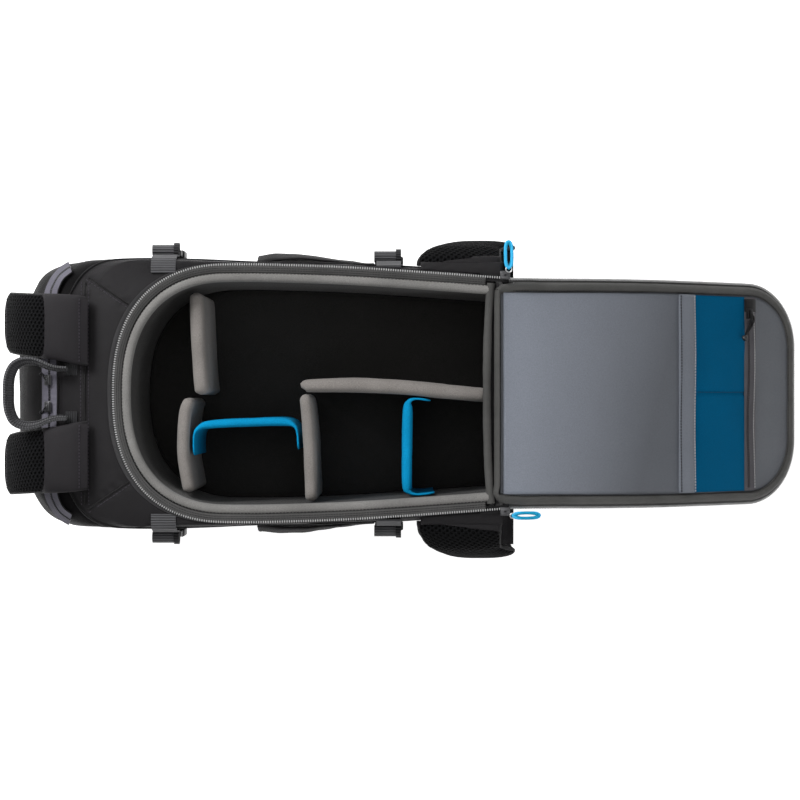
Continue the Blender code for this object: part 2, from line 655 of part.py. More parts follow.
def make_hip_belt():
    for side, sign in (("left", 1), ("right", -1)):
        root = HIP_PATH[0][0]
        path = [(root + (y - root) * HIP_BULGE[side], *rest) for y, *rest in HIP_PATH]
        rings = strap_rings(path, lambda y, z, x, sign=sign: (x, sign * y, z))
        stacked(f"hip_wing_{side}", rings, "mesh_pad", pivot=(190, sign * HIP_AXIS[0], HIP_AXIS[1]))
        roll = [(136, 35.4), (133.2, 35.4), (132.5, 27), (126, 24), (121.8, 17), (122.5, 9), (128, 3.6),
                (135, 2.4), (142, 5), (145.4, 12), (143.8, 20.5), (138, 26), (136, 28)]
        side_prism(f"hip_belt_end_{side}", [(sign * y, z) for y, z in roll], 195, 230, "webbing",
                   pivot=(190, sign * HIP_AXIS[0], HIP_AXIS[1]))


BUCKLES = {"upper": -94.0, "lower": 125.0}
SOCKET_HALF, PLUG_HALF = 14.5, 12.8
SOCKET_Z, PLUG_Z = (120.0, 146.0), (146.5, 165.0)


def make_compression_straps():
    """Four side straps: a socket low on each side, and a plug with the rolled end of its webbing."""
    for place, x in BUCKLES.items():
        corners = [(x + k, z) for k in (-SOCKET_HALF, SOCKET_HALF) for z in (118, 148, 165)]
        face = max(body_half_width(*corner) for corner in corners) + 0.5
        for side, sign in (("left", 1), ("right", -1)):
            low, high = sorted((sign * face, sign * (face + 9)))
            box(f"socket_{place}_{side}", (x - SOCKET_HALF, low, SOCKET_Z[0]),
                (x + SOCKET_HALF, high, SOCKET_Z[1]), "buckle_plastic", 1.6)
            z0, z1 = PLUG_Z
            roll = 6.4
            middle = (face + roll + 0.6, z1 + roll + 1.0)
            profile = [(face + 1, z0), (face + 7, z0), (face + 7, z1 - 2)]
            profile += [(middle[0] + roll * math.cos(t), middle[1] + roll * math.sin(t))
                        for t in [math.radians(-35 + 250 * k / 8) for k in range(9)]]
            profile += [(face + 1, z1 - 2)]
            side_prism(f"plug_{place}_{side}", [(sign * y, z) for y, z in profile],
                       x - PLUG_HALF, x + PLUG_HALF, "webbing", pivot=(x, sign * (face + 4), z0))


def main():
    for old in list(bpy.data.objects):
        bpy.data.objects.remove(old)
    make_shell()
    make_liner()
    make_rim()
    make_side_pockets()
    make_top_zip()
    make_dividers()
    make_lid()
    make_main_sliders()
    make_top_sliders()
    make_front_slider()
    make_shoulder_straps()
    make_handle()
    make_hip_belt()
    make_compression_straps()


main()
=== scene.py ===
"""Looks of the camera backpack: fabric shell, zips, padded lining, dividers, straps and the open lid.

Shapes are worked out in millimetres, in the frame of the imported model, and new_piece() turns them
into metres. Each piece rides on a body of the frame and stands for the plain nodes that it names.
"""

import json
import math

import bmesh
import bpy
import numpy as np
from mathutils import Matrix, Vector, noise
from mathutils.bvhtree import BVHTree

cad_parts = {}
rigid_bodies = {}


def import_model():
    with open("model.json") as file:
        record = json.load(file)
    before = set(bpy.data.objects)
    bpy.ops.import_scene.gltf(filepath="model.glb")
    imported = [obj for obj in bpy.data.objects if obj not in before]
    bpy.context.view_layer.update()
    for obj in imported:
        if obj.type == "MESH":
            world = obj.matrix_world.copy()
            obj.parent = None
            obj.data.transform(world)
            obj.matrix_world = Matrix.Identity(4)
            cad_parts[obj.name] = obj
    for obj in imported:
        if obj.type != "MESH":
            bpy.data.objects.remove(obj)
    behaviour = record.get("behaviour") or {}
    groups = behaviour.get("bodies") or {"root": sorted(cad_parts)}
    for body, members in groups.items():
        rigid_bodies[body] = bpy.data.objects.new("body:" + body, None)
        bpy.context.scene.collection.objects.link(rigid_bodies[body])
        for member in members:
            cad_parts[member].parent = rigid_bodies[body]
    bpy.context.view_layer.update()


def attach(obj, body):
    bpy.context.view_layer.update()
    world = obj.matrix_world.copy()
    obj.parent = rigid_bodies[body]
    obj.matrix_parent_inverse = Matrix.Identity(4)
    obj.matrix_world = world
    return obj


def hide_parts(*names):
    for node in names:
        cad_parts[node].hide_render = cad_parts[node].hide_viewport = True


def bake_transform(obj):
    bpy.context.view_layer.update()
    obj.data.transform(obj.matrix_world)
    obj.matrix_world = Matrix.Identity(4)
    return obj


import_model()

MM = 0.001

# ---- the bag's outline, as the model has it ---------------------------------------------------
SLICES = [
    (0, -20, 212, 0.80), (4, -46, 228, 0.86), (10, -78, 238, 0.90), (17, -115, 244, 0.935),
    (25, -158, 248, 0.955), (36, -194, 250, 0.975), (40, -203, 250, 0.98), (52, -219, 250, 0.99),
    (66, -231, 250, 1.0), (88, -243, 250, 1.01), (118, -247, 250, 1.02), (148, -245, 250, 1.02),
    (168, -236, 250, 1.015), (182, -223, 248.5, 1.01), (190, -211, 245, 1.005), (196, -198, 240, 1.0),
    (203, -178, 231, 0.993), (207, -160, 215, 0.982),
]
BODY_HALF_WIDTH = [
    (-250, 126), (-200, 128.5), (-150, 130.5), (-110, 131.5), (-60, 130.5), (0, 128), (60, 127.2),
    (140, 124), (200, 119.5), (250, 116),
]
TOP_CAP, BASE_CAP, CAP_POWER = 66.0, 26.0, 2.9
OPENING_HALF_WIDTH = [(-30, 126), (0, 126), (80, 123.5), (160, 118.5), (250, 112)]
OPENING_ARC_X, OPENING_ARC, OPENING_POWER = -28.6, 115.0, 2.4
HINGE_WALL_X, SEAM_X, BASE_X = 226.0, -60.0, 238.0
FLOOR_TOP, LINER_TOP, BASE_WALL_TOP, RIM_Z = 60.0, 201.5, 195.0, 207.3
LID_TILT, LID_LENGTH, LID_CORNER = 32.2, 388.0, 62.0
HINGE = Vector((229.0, 0.0, 215.5))
LID_HALF_WIDTH = [(0, 108), (60, 109), (130, 110.8), (220, 112), (388, 111.5)]


def smooth_table(table, x):
    """The value at x of a smooth curve through a table of (x, value) rows."""
    if x <= table[0][0]:
        return table[0][1]
    if x >= table[-1][0]:
        return table[-1][1]
    i = max(k for k in range(len(table) - 1) if table[k][0] <= x)
    (x0, y0), (x1, y1) = table[i], table[i + 1]

    def slope(k):
        a, b = max(k - 1, 0), min(k + 1, len(table) - 1)
        return (table[b][1] - table[a][1]) / (table[b][0] - table[a][0])

    span, t = x1 - x0, (x - x0) / (x1 - x0)
    return (
        (2 * t**3 - 3 * t**2 + 1) * y0 + (t**3 - 2 * t**2 + t) * span * slope(i)
        + (3 * t**2 - 2 * t**3) * y1 + (t**3 - t**2) * span * slope(i + 1)
    )


def slice_at(z):
    return tuple(smooth_table([(row[0], row[k]) for row in SLICES], z) for k in (1, 2, 3))


def cap(share):
    return max(0.0, 1 - share**CAP_POWER) ** (1 / CAP_POWER)


def body_half_width(x, z):
    low, high, share = slice_at(z)
    width = smooth_table(BODY_HALF_WIDTH, x) * share
    if x < low + TOP_CAP:
        width *= cap(min(1.0, (low + TOP_CAP - x) / TOP_CAP))
    if x > high - BASE_CAP:
        width *= cap(min(1.0, (x - high + BASE_CAP) / BASE_CAP))
    return width


CAP_STEPS, SIDE_STEPS, BASE_STEPS = 30, 76, 12


def half_outline(z):
    """Half of the body's outline, from the middle of its top end to the middle of its base."""
    low, high, _ = slice_at(z)
    power = 2 / CAP_POWER
    xs = [low + TOP_CAP * (1 - math.cos(math.pi / 2 * k / CAP_STEPS) ** power) for k in range(CAP_STEPS)]
    start, end = low + TOP_CAP, high - BASE_CAP
    xs += [start + (end - start) * k / SIDE_STEPS for k in range(SIDE_STEPS)]
    xs += [high - BASE_CAP * (1 - math.sin(math.pi / 2 * k / BASE_STEPS) ** power)
           for k in range(BASE_STEPS)]
    points = [(x, body_half_width(x, z)) for x in xs]
    points[0] = (low, 0.0)
    return points + [(high, 0.0)]


def opening_half_width(x, inset):
    if x >= OPENING_ARC_X:
        return smooth_table(OPENING_HALF_WIDTH, x) - inset
    share = min(1.0, (OPENING_ARC_X - x) / (OPENING_ARC - inset))
    return (OPENING_HALF_WIDTH[0][1] - inset) * (1 - share**OPENING_POWER) ** (1 / OPENING_POWER)


def half_opening(inset, x_end, arc_steps=CAP_STEPS, side_steps=SIDE_STEPS):
    """Half of the opening's line, from the middle of its curved end to the hinge end."""
    power = 2 / OPENING_POWER
    half = OPENING_HALF_WIDTH[0][1] - inset
    line = []
    for k in range(arc_steps):
        turn = math.pi / 2 * k / arc_steps
        line.append((OPENING_ARC_X - (OPENING_ARC - inset) * math.cos(turn) ** power,
                     half * math.sin(turn) ** power))
    for k in range(side_steps + 1):
        x = OPENING_ARC_X + (x_end - OPENING_ARC_X) * k / side_steps
        line.append((x, smooth_table(OPENING_HALF_WIDTH, x) - inset))
    return line


def both_sides(half):
    """A half line that starts in the middle, with its mirror image before it."""
    return [(x, -y) for x, y in reversed(half[1:])] + half


def body_top(x, y):
    """Height of the bag's upper surface above a point near its rounded top end."""
    low, high = 118.0, 207.0
    if body_half_width(x, high) >= abs(y) and slice_at(high)[0] < x:
        return high
    for _ in range(30):
        middle = (low + high) / 2
        inside = slice_at(middle)[0] < x and body_half_width(x, middle) > abs(y)
        low, high = (middle, high) if inside else (low, middle)
    return low


def top_point(x, y, lift=0.0):
    """A point on the upper surface, and the surface's normal there."""
    dx = (body_top(x + 3, y) - body_top(x - 3, y)) / 6
    inward = y - math.copysign(2.0, y) if abs(y) > 2 else y + 2
    dy = (body_top(x, inward) - body_top(x, y)) / (inward - y)
    up = Vector((-dx, -dy, 1)).normalized()
    return Vector((x, y, body_top(x, y))) + up * lift, up


# ---- meshes -----------------------------------------------------------------------------------
def clear_box_uv(mesh, scale=1.0):
    """UVs in metres, projected on whichever axis each face looks along."""
    layer = mesh.uv_layers.get("UVMap") or mesh.uv_layers.new(name="UVMap")
    for poly in mesh.polygons:
        axis = max(range(3), key=lambda k: abs(poly.normal[k]))
        a, b = [k for k in range(3) if k != axis]
        for corner in poly.loop_indices:
            co = mesh.vertices[mesh.loops[corner].vertex_index].co
            layer.data[corner].uv = (co[a] * scale, co[b] * scale)


def new_piece(name, points, faces, look, body, replaces=(), uvs=None, sharp=50, core=None):
    """A piece from points in millimetres, with its look, riding on a body of the frame. A closed one
    is turned outwards. An open one is given a core, a point behind its sheet."""
    mesh = bpy.data.meshes.new(name)
    mesh.from_pydata([Vector(p) * MM for p in points], [], faces)
    made = bpy.data.objects.new(name, mesh)
    bpy.context.scene.collection.objects.link(made)
    if uvs is None:
        mesh.update()
        clear_box_uv(mesh)
    else:
        layer = mesh.uv_layers.new(name="UVMap")
        layer.data.foreach_set("uv", np.asarray(uvs, np.float32).ravel() * MM)
    work = bmesh.new()
    work.from_mesh(mesh)
    if core is None:
        bmesh.ops.recalc_face_normals(work, faces=work.faces)
    elif sum(f.normal.dot(f.calc_center_median() - Vector(core) * MM) * f.calc_area()
             for f in work.faces) < 0:
        bmesh.ops.reverse_faces(work, faces=work.faces)
    work.to_mesh(mesh)
    work.free()
    mesh.shade_smooth()
    mesh.set_sharp_from_angle(angle=math.radians(sharp))
    return dress(made, look, body, replaces)


def dress(made, look, body, replaces=()):
    made.data.materials.clear()
    made.data.materials.append(look)
    if body:
        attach(made, body)
    if replaces:
        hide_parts(*replaces)
    return made


def skin(name, rows, look, body, replaces=(), ring=False, caps=False, thickness=0.0, sharp=50,
         core=None,
         turn_uv=False):
    """A surface through rows of points. ring closes each row, caps closes both ends. An open sheet
    grows by its thickness towards its core."""
    grid = np.array([[tuple(p) for p in row] for row in rows], float)
    count, width = grid.shape[:2]
    points = grid.reshape(-1, 3)
    closed = np.concatenate([grid, grid[:, :1]], axis=1) if ring else grid
    along = np.concatenate([np.zeros((count, 1)), np.cumsum(np.linalg.norm(np.diff(closed, axis=1), axis=2),
                                                            axis=1)], 1)
    across = np.concatenate([[0], np.cumsum(np.linalg.norm(np.diff(grid, axis=0), axis=2).mean(1))])
    faces, uvs = [], []
    for r in range(count - 1):
        for k in range(width if ring else width - 1):
            n = (k + 1) % width
            faces.append((r * width + k, r * width + n, (r + 1) * width + n, (r + 1) * width + k))
            corners = [(along[r, k], across[r]), (along[r, k + 1], across[r]),
                       (along[r + 1, k + 1], across[r + 1]), (along[r + 1, k], across[r + 1])]
            uvs += [(b, a) for a, b in corners] if turn_uv else corners
    if caps:
        for r in (0, count - 1):
            face = [r * width + k for k in range(width)]
            faces.append(tuple(face[::-1] if r == 0 else face))
            middle = grid[r].mean(0)
            offset = grid[r] - middle
            spans = offset.max(0) - offset.min(0)
            a, b = sorted(np.argsort(spans)[1:])
            order = range(width - 1, -1, -1) if r == 0 else range(width)
            uvs += [(offset[k, a], offset[k, b]) for k in order]
    made = new_piece(name, points, faces, look, body, replaces, uvs, sharp, core)
    if thickness:
        solid = made.modifiers.new("thickness", "SOLIDIFY")
        solid.thickness = thickness * MM
        solid.offset = -1
    return made


def push(rows, amount, core, ring=False):
    """Moves each point of a grid by amount(point) along its normal, away from the core."""
    grid = np.array([[tuple(p) for p in row] for row in rows], float)
    if ring:
        wide = np.concatenate([grid[:, -1:], grid, grid[:, :1]], axis=1)
        du = (wide[:, 2:] - wide[:, :-2])
    else:
        du = np.gradient(grid, axis=1)
    dv = np.gradient(grid, axis=0)
    normal = np.cross(du, dv)
    length = np.linalg.norm(normal, axis=2, keepdims=True)
    normal = np.where(length > 1e-9, normal / np.maximum(length, 1e-9), 0)
    if (normal * (grid - np.array(tuple(core)))).sum() < 0:
        normal = -normal
    for r in range(grid.shape[0]):
        for k in range(grid.shape[1]):
            grid[r, k] += normal[r, k] * amount(grid[r, k])
    return grid


def resample(path, step):
    """Points every step along a smooth curve through the path's points."""
    pts = [Vector(p) for p in path]
    dense = []
    for i in range(len(pts) - 1):
        a, b, c, d = pts[max(i - 1, 0)], pts[i], pts[i + 1], pts[min(i + 2, len(pts) - 1)]
        for k in range(16):
            t = k / 16
            dense.append(0.5 * (2 * b + (c - a) * t + (2 * a - 5 * b + 4 * c - d) * t**2
                                + (3 * b - 3 * c + d - a) * t**3))
    dense.append(pts[-1])
    lengths = np.concatenate([[0], np.cumsum([(q - p).length for p, q in zip(dense, dense[1:])])])
    count = max(2, int(round(lengths[-1] / step)) + 1)
    marks = np.linspace(0, lengths[-1], count)
    table = np.array([tuple(p) for p in dense])
    return [Vector([np.interp(m, lengths, table[:, k]) for k in range(3)]) for m in marks]


def frames_along(path, up):
    """(point, along, across, up) at each point. up is a vector, or one for each point."""
    found = []
    for i, p in enumerate(path):
        along = (path[min(i + 1, len(path) - 1)] - path[max(i - 1, 0)]).normalized()
        here = up[i] if isinstance(up, list) else up
        across = along.cross(here).normalized()
        found.append((p, along, across, across.cross(along).normalized()))
    return found


def sweep(name, path, section, up, look, body, replaces=(), sharp=50):
    """A closed solid whose section, a loop of (across, up) points, runs along a path. section may be
    a function of the point's number and its share of the way."""
    rows = []
    total = len(path) - 1
    for i, (p, _, across, high) in enumerate(frames_along(path, up)):
        loop = section(i, i / total) if callable(section) else section
        rows.append([p + across * a + high * b for a, b in loop])
    return skin(name, rows, look, body, replaces, ring=True, caps=True, sharp=sharp)


def flat_loop(width, height, base=0.0, steps=3):
    """A flattened oval section: width across, height up from base."""
    loop = []
    half, high = width / 2, height / 2
    corner = min(half, high)
    for quadrant, sx in enumerate((1, -1, -1, 1)):
        for k in range(steps + 1):
            turn = math.pi / 2 * (k / steps + quadrant)
            x = sx * (half - corner) + corner * math.cos(turn)
            y = high * math.sin(turn)
            loop.append((x, base + high + y))
    return loop


def beads(name, path, up, pitch, size, look, body, lift=0.0, turned=False, skip=None):
    """A row of small rounded blocks along a path, such as stitches or zip teeth."""
    spots = resample(path, pitch) if not isinstance(up, list) else path
    length, width, height = size
    points, faces = [], []
    for i, (p, along, across, high) in enumerate(frames_along(spots, up)):
        if skip and skip(i, p):
            continue
        a, b = (across, along) if turned else (along, across)
        base = len(points)
        for s, grow in ((-1, 0.55), (-0.6, 1), (0.6, 1), (1, 0.55)):
            for c, h in ((-1, 0), (-0.7, 1), (0.7, 1), (1, 0)):
                points.append(p + a * s * length / 2 + b * c * grow * width / 2
                              + high * (lift + h * grow * height))
        for r in range(3):
            for k in range(4):
                n = (k + 1) % 4
                faces.append((base + r * 4 + k, base + r * 4 + n, base + (r + 1) * 4 + n,
                              base + (r + 1) * 4 + k))
        faces.append((base + 3, base + 2, base + 1, base))
        faces.append((base + 12, base + 13, base + 14, base + 15))
    return new_piece(name, points, faces, look, body)


def tube(name, path, radius, look, body, replaces=(), closed=False, step=2.0, smooth=True):
    """A round cord or piping. A closed path ends where it began."""
    spots = resample(path, step) if smooth else [Vector(p) for p in path]
    curve = bpy.data.curves.new(name, "CURVE")
    curve.dimensions = "3D"
    curve.bevel_depth = radius * MM
    curve.bevel_resolution = 3
    curve.use_fill_caps = not closed
    if closed:
        spots = spots[:-1]
    line = curve.splines.new("POLY")
    line.points.add(len(spots) - 1)
    for spot, p in zip(line.points, spots):
        spot.co = (*(p * MM), 1)
    line.use_cyclic_u = closed
    line.use_smooth = True
    made = bpy.data.objects.new(name, curve)
    bpy.context.scene.collection.objects.link(made)
    return dress(made, look, body, replaces)


def blocks(name, parts, look, body, replaces=(), bevel=0.8, place=None):
    """One moulded piece from boxes ((low), (high)), each with rounded edges."""
    work = bmesh.new()
    for low, high in parts:
        made = bmesh.ops.create_cube(work, size=1)
        for vert in made["verts"]:
            vert.co = Vector([low[k] + (high[k] - low[k]) * (vert.co[k] + 0.5) for k in range(3)])
        edges = list({edge for vert in made["verts"] for edge in vert.link_edges})
        least = min(high[k] - low[k] for k in range(3))
        bmesh.ops.bevel(work, geom=edges, offset=min(bevel, least * 0.4), segments=3, affect="EDGES",
                        profile=0.5)
    if place:
        for vert in work.verts:
            vert.co = place(vert.co)
    mesh = bpy.data.meshes.new(name)
    bmesh.ops.scale(work, vec=(MM, MM, MM), verts=work.verts)
    bmesh.ops.recalc_face_normals(work, faces=work.faces)
    work.to_mesh(mesh)
    work.free()
    clear_box_uv(mesh)
    made = bpy.data.objects.new(name, mesh)
    bpy.context.scene.collection.objects.link(made)
    mesh.shade_smooth()
    mesh.set_sharp_from_angle(angle=math.radians(45))
    return dress(made, look, body, replaces)


# ---- materials --------------------------------------------------------------------------------
class Look:
    """Builds one procedural material on a Principled shader."""

    def __init__(self, name, roughness, metallic=0.0, source="UV"):
        self.material = bpy.data.materials.new(name)
        self.material.use_nodes = True
        self.nodes = self.material.node_tree.nodes
        self.links = self.material.node_tree.links
        self.shader = self.nodes["Principled BSDF"]
        self.shader.inputs["Roughness"].default_value = roughness
        self.shader.inputs["Metallic"].default_value = metallic
        coords = self.nodes.new("ShaderNodeTexCoord")
        self.object = coords.outputs["Object"]
        self.uv = coords.outputs["UV"] if source == "UV" else coords.outputs["Object"]
        self.height = None

    def math(self, operation, a, b=None):
        node = self.nodes.new("ShaderNodeMath")
        node.operation = operation
        for socket, value in zip(node.inputs, (a, b)):
            if value is None:
                continue
            if isinstance(value, (int, float)):
                socket.default_value = value
            else:
                self.links.new(value, socket)
        return node.outputs[0]

    def noise(self, scale, detail=2.0, source=None, distortion=0.0):
        node = self.nodes.new("ShaderNodeTexNoise")
        node.inputs["Scale"].default_value = scale
        node.inputs["Detail"].default_value = detail
        node.inputs["Distortion"].default_value = distortion
        self.links.new(source or self.object, node.inputs["Vector"])
        return node.outputs["Fac"]

    def axes(self):
        node = self.nodes.new("ShaderNodeSeparateXYZ")
        self.links.new(self.uv, node.inputs[0])
        return node.outputs

    def wave(self, value, period):
        return self.math("SINE", self.math("MULTIPLY", value, 2 * math.pi / period))

    def weave(self, period):
        """A plain weave with threads this far apart, in metres."""
        axes = self.axes()
        return self.math("MULTIPLY", self.wave(axes[0], period), self.wave(axes[1], period))

    def ribs(self, period, axis):
        return self.wave(self.axes()[axis], period)

    def hexagons(self, period):
        """A honeycomb: low in the holes, high on the threads between them."""
        axes = self.axes()
        step = 2 * math.pi / period
        first = self.math("MULTIPLY", axes[0], step)
        half = self.math("MULTIPLY", axes[0], step / 2)
        other = self.math("MULTIPLY", axes[1], step * math.sqrt(3) / 2)
        total = self.math("ADD", self.math("COSINE", first), self.math("COSINE",
                                                                       self.math("ADD", half, other)))
        return self.math("ADD", total, self.math("COSINE", self.math("SUBTRACT", half, other)))

    def ramp(self, value, stops):
        node = self.nodes.new("ShaderNodeValToRGB")
        self.links.new(value, node.inputs[0])
        while len(node.color_ramp.elements) < len(stops):
            node.color_ramp.elements.new(0.5)
        for element, (spot, colour) in zip(node.color_ramp.elements, stops):
            element.position = spot
            element.color = (*colour, 1)
        return node.outputs["Color"]

    def mix(self, amount, a, b):
        node = self.nodes.new("ShaderNodeMix")
        node.data_type = "RGBA"
        node.blend_type = "MULTIPLY"
        for socket, value in ((node.inputs[0], amount), (node.inputs[6], a), (node.inputs[7], b)):
            if isinstance(value, (int, float)):
                socket.default_value = value
            else:
                self.links.new(value, socket)
        return node.outputs[2]

    def bump(self, height, distance, strength=1.0):
        node = self.nodes.new("ShaderNodeBump")
        node.inputs["Strength"].default_value = strength
        node.inputs["Distance"].default_value = distance
        self.links.new(height, node.inputs["Height"])
        if self.height:
            self.links.new(self.height, node.inputs["Normal"])
        self.height = node.outputs["Normal"]

    def colour(self, value):
        self.links.new(value, self.shader.inputs["Base Color"])

    def rough(self, value, low, high):
        spread = self.math("ADD", self.math("MULTIPLY", value, high - low), low)
        self.links.new(spread, self.shader.inputs["Roughness"])

    def sheen(self, weight, roughness=0.4, tint=(1, 1, 1)):
        self.shader.inputs["Sheen Weight"].default_value = weight
        self.shader.inputs["Sheen Roughness"].default_value = roughness
        self.shader.inputs["Sheen Tint"].default_value = (*tint, 1)

    def specular(self, level):
        self.shader.inputs["Specular IOR Level"].default_value = level

    def done(self):
        if self.height:
            self.links.new(self.height, self.shader.inputs["Normal"])
        return self.material


def shade(colour, factor):
    return tuple(min(1.0, c * factor) for c in colour)


def woven(name, colour, period=0.0009, roughness=0.55, sheen=0.04, vary=0.14, wrinkle=0.0008, depth=0.00008,
          specular=0.3, fade=None):
    """Tight woven nylon: fine threads, soft wrinkles and slow changes of tone. fade=(far, dark) adds painted
    shade: the colour darkens towards dark along the cloth.
    """
    look = Look(name, roughness)
    slow = look.noise(14, 3)
    fine = look.noise(900, 2)
    tone = look.ramp(slow, [(0.3, shade(colour, 1 - vary)), (0.7, shade(colour, 1 + vary))])
    grain = look.ramp(fine, [(0.3, (0.82, 0.82, 0.82)), (0.7, (1.0, 1.0, 1.0))])
    mixed = look.mix(1.0, tone, grain)
    # painted shade: fade multiplies the colour by a ramp from 1 down to dark, growing along the second UV
    # axis and steeper near the start of the first, so one end of the cloth reads lit and the other shaded
    if fade:
        far, dark = fade
        lean = look.math("SUBTRACT", 1.2, look.math("MULTIPLY", look.axes()[0], 1.7))
        share = look.math("MULTIPLY", look.math("DIVIDE", look.axes()[1], far), lean)
        mixed = look.mix(1.0, mixed, look.ramp(share, [(0.12, (1.0, 1.0, 1.0)), (0.95, (dark, dark, dark))]))
    look.colour(mixed)
    look.rough(look.noise(45, 3), roughness - 0.1, roughness + 0.12)
    look.bump(look.noise(38, 4, distortion=0.6), wrinkle, 0.55)
    look.bump(look.weave(period), depth, 0.8)
    look.sheen(sheen)
    look.specular(specular)
    return look.done()


def brushed(name, colour, roughness=0.9, sheen=0.12, vary=0.12):
    """Brushed loop lining: short fuzz that catches light at grazing angles."""
    look = Look(name, roughness)
    slow = look.noise(22, 3)
    tone = look.ramp(slow, [(0.3, shade(colour, 1 - vary)), (0.7, shade(colour, 1 + vary))])
    fuzz = look.noise(1400, 4)
    grain = look.ramp(fuzz, [(0.3, (0.62, 0.62, 0.62)), (0.68, (1.0, 1.0, 1.0))])
    look.colour(look.mix(1.0, tone, grain))
    look.bump(look.noise(55, 3), 0.0012, 0.4)
    look.bump(fuzz, 0.0005, 0.7)
    look.sheen(sheen, 0.5)
    look.specular(0.12)
    return look.done()


def spacer_mesh(name, colour, period=0.0036):
    """Knitted spacer mesh: a honeycomb of thread over darker foam."""
    look = Look(name, 0.8)
    cells = look.hexagons(period)
    threads = look.ramp(look.math("ADD", look.math("MULTIPLY", cells, 0.22), 0.33),
                        [(0.34, shade(colour, 1.9)), (0.62, shade(colour, 0.25))])
    slow = look.noise(18, 2)
    tone = look.ramp(slow, [(0.3, (0.75, 0.75, 0.75)), (0.7, (1.0, 1.0, 1.0))])
    look.colour(look.mix(1.0, threads, tone))
    look.bump(look.noise(40, 3), 0.0012, 0.4)
    look.bump(look.math("MULTIPLY", cells, -1.0), 0.0007, 0.9)
    look.bump(look.noise(1600, 2), 0.0002, 0.5)
    look.sheen(0.01)
    look.specular(0.035)
    return look.done()


def ribbed(name, colour, period=0.0016, axis=1, roughness=0.65, depth=0.0003, vary=0.15):
    """Ribbed webbing or binding tape. axis 1 puts the ribs across the strap."""
    look = Look(name, roughness)
    ribs = look.ribs(period, axis)
    tone = look.ramp(look.noise(30, 3), [(0.3, shade(colour, 1 - vary)), (0.7, shade(colour, 1 + vary))])
    dark = look.ramp(look.math("ADD", look.math("MULTIPLY", ribs, 0.5), 0.5),
                     [(0.0, (0.6, 0.6, 0.6)), (0.6, (1.0, 1.0, 1.0))])
    look.colour(look.mix(1.0, tone, dark))
    look.bump(look.noise(60, 3), 0.0007, 0.4)
    look.bump(ribs, depth, 0.8)
    look.bump(look.noise(1500, 2), 0.00015, 0.5)
    look.sheen(0.05)
    look.specular(0.25)
    return look.done()


def moulded(name, colour, roughness=0.42):
    look = Look(name, roughness)
    look.colour(look.ramp(look.noise(70, 3), [(0.3, shade(colour, 0.85)), (0.7, shade(colour, 1.15))]))
    look.rough(look.noise(200, 3), roughness - 0.08, roughness + 0.14)
    look.bump(look.noise(2600, 2), 0.00006, 0.6)
    return look.done()


def metal(name, colour, roughness=0.34):
    look = Look(name, roughness, 1.0)
    look.colour(look.ramp(look.noise(160, 3), [(0.3, shade(colour, 0.75)), (0.7, shade(colour, 1.2))]))
    look.rough(look.noise(420, 3), roughness - 0.1, roughness + 0.18)
    look.bump(look.noise(900, 2), 0.00005, 0.5)
    return look.done()


def braided(name, colour, period=0.0016):
    """A braided cord: crossing diagonal strands."""
    look = Look(name, 0.6, source="Object")
    x, y, z = look.axes()
    one = look.wave(look.math("ADD", look.math("ADD", x, y), z), period)
    two = look.wave(look.math("SUBTRACT", look.math("ADD", x, z), y), period)
    braid = look.math("MULTIPLY", one, two)
    look.colour(look.ramp(look.math("ADD", look.math("MULTIPLY", braid, 0.5), 0.5),
                          [(0.1, shade(colour, 0.6)), (0.6, shade(colour, 1.1))]))
    look.bump(braid, 0.0003, 0.8)
    look.sheen(0.03)
    look.specular(0.15)
    return look.done()


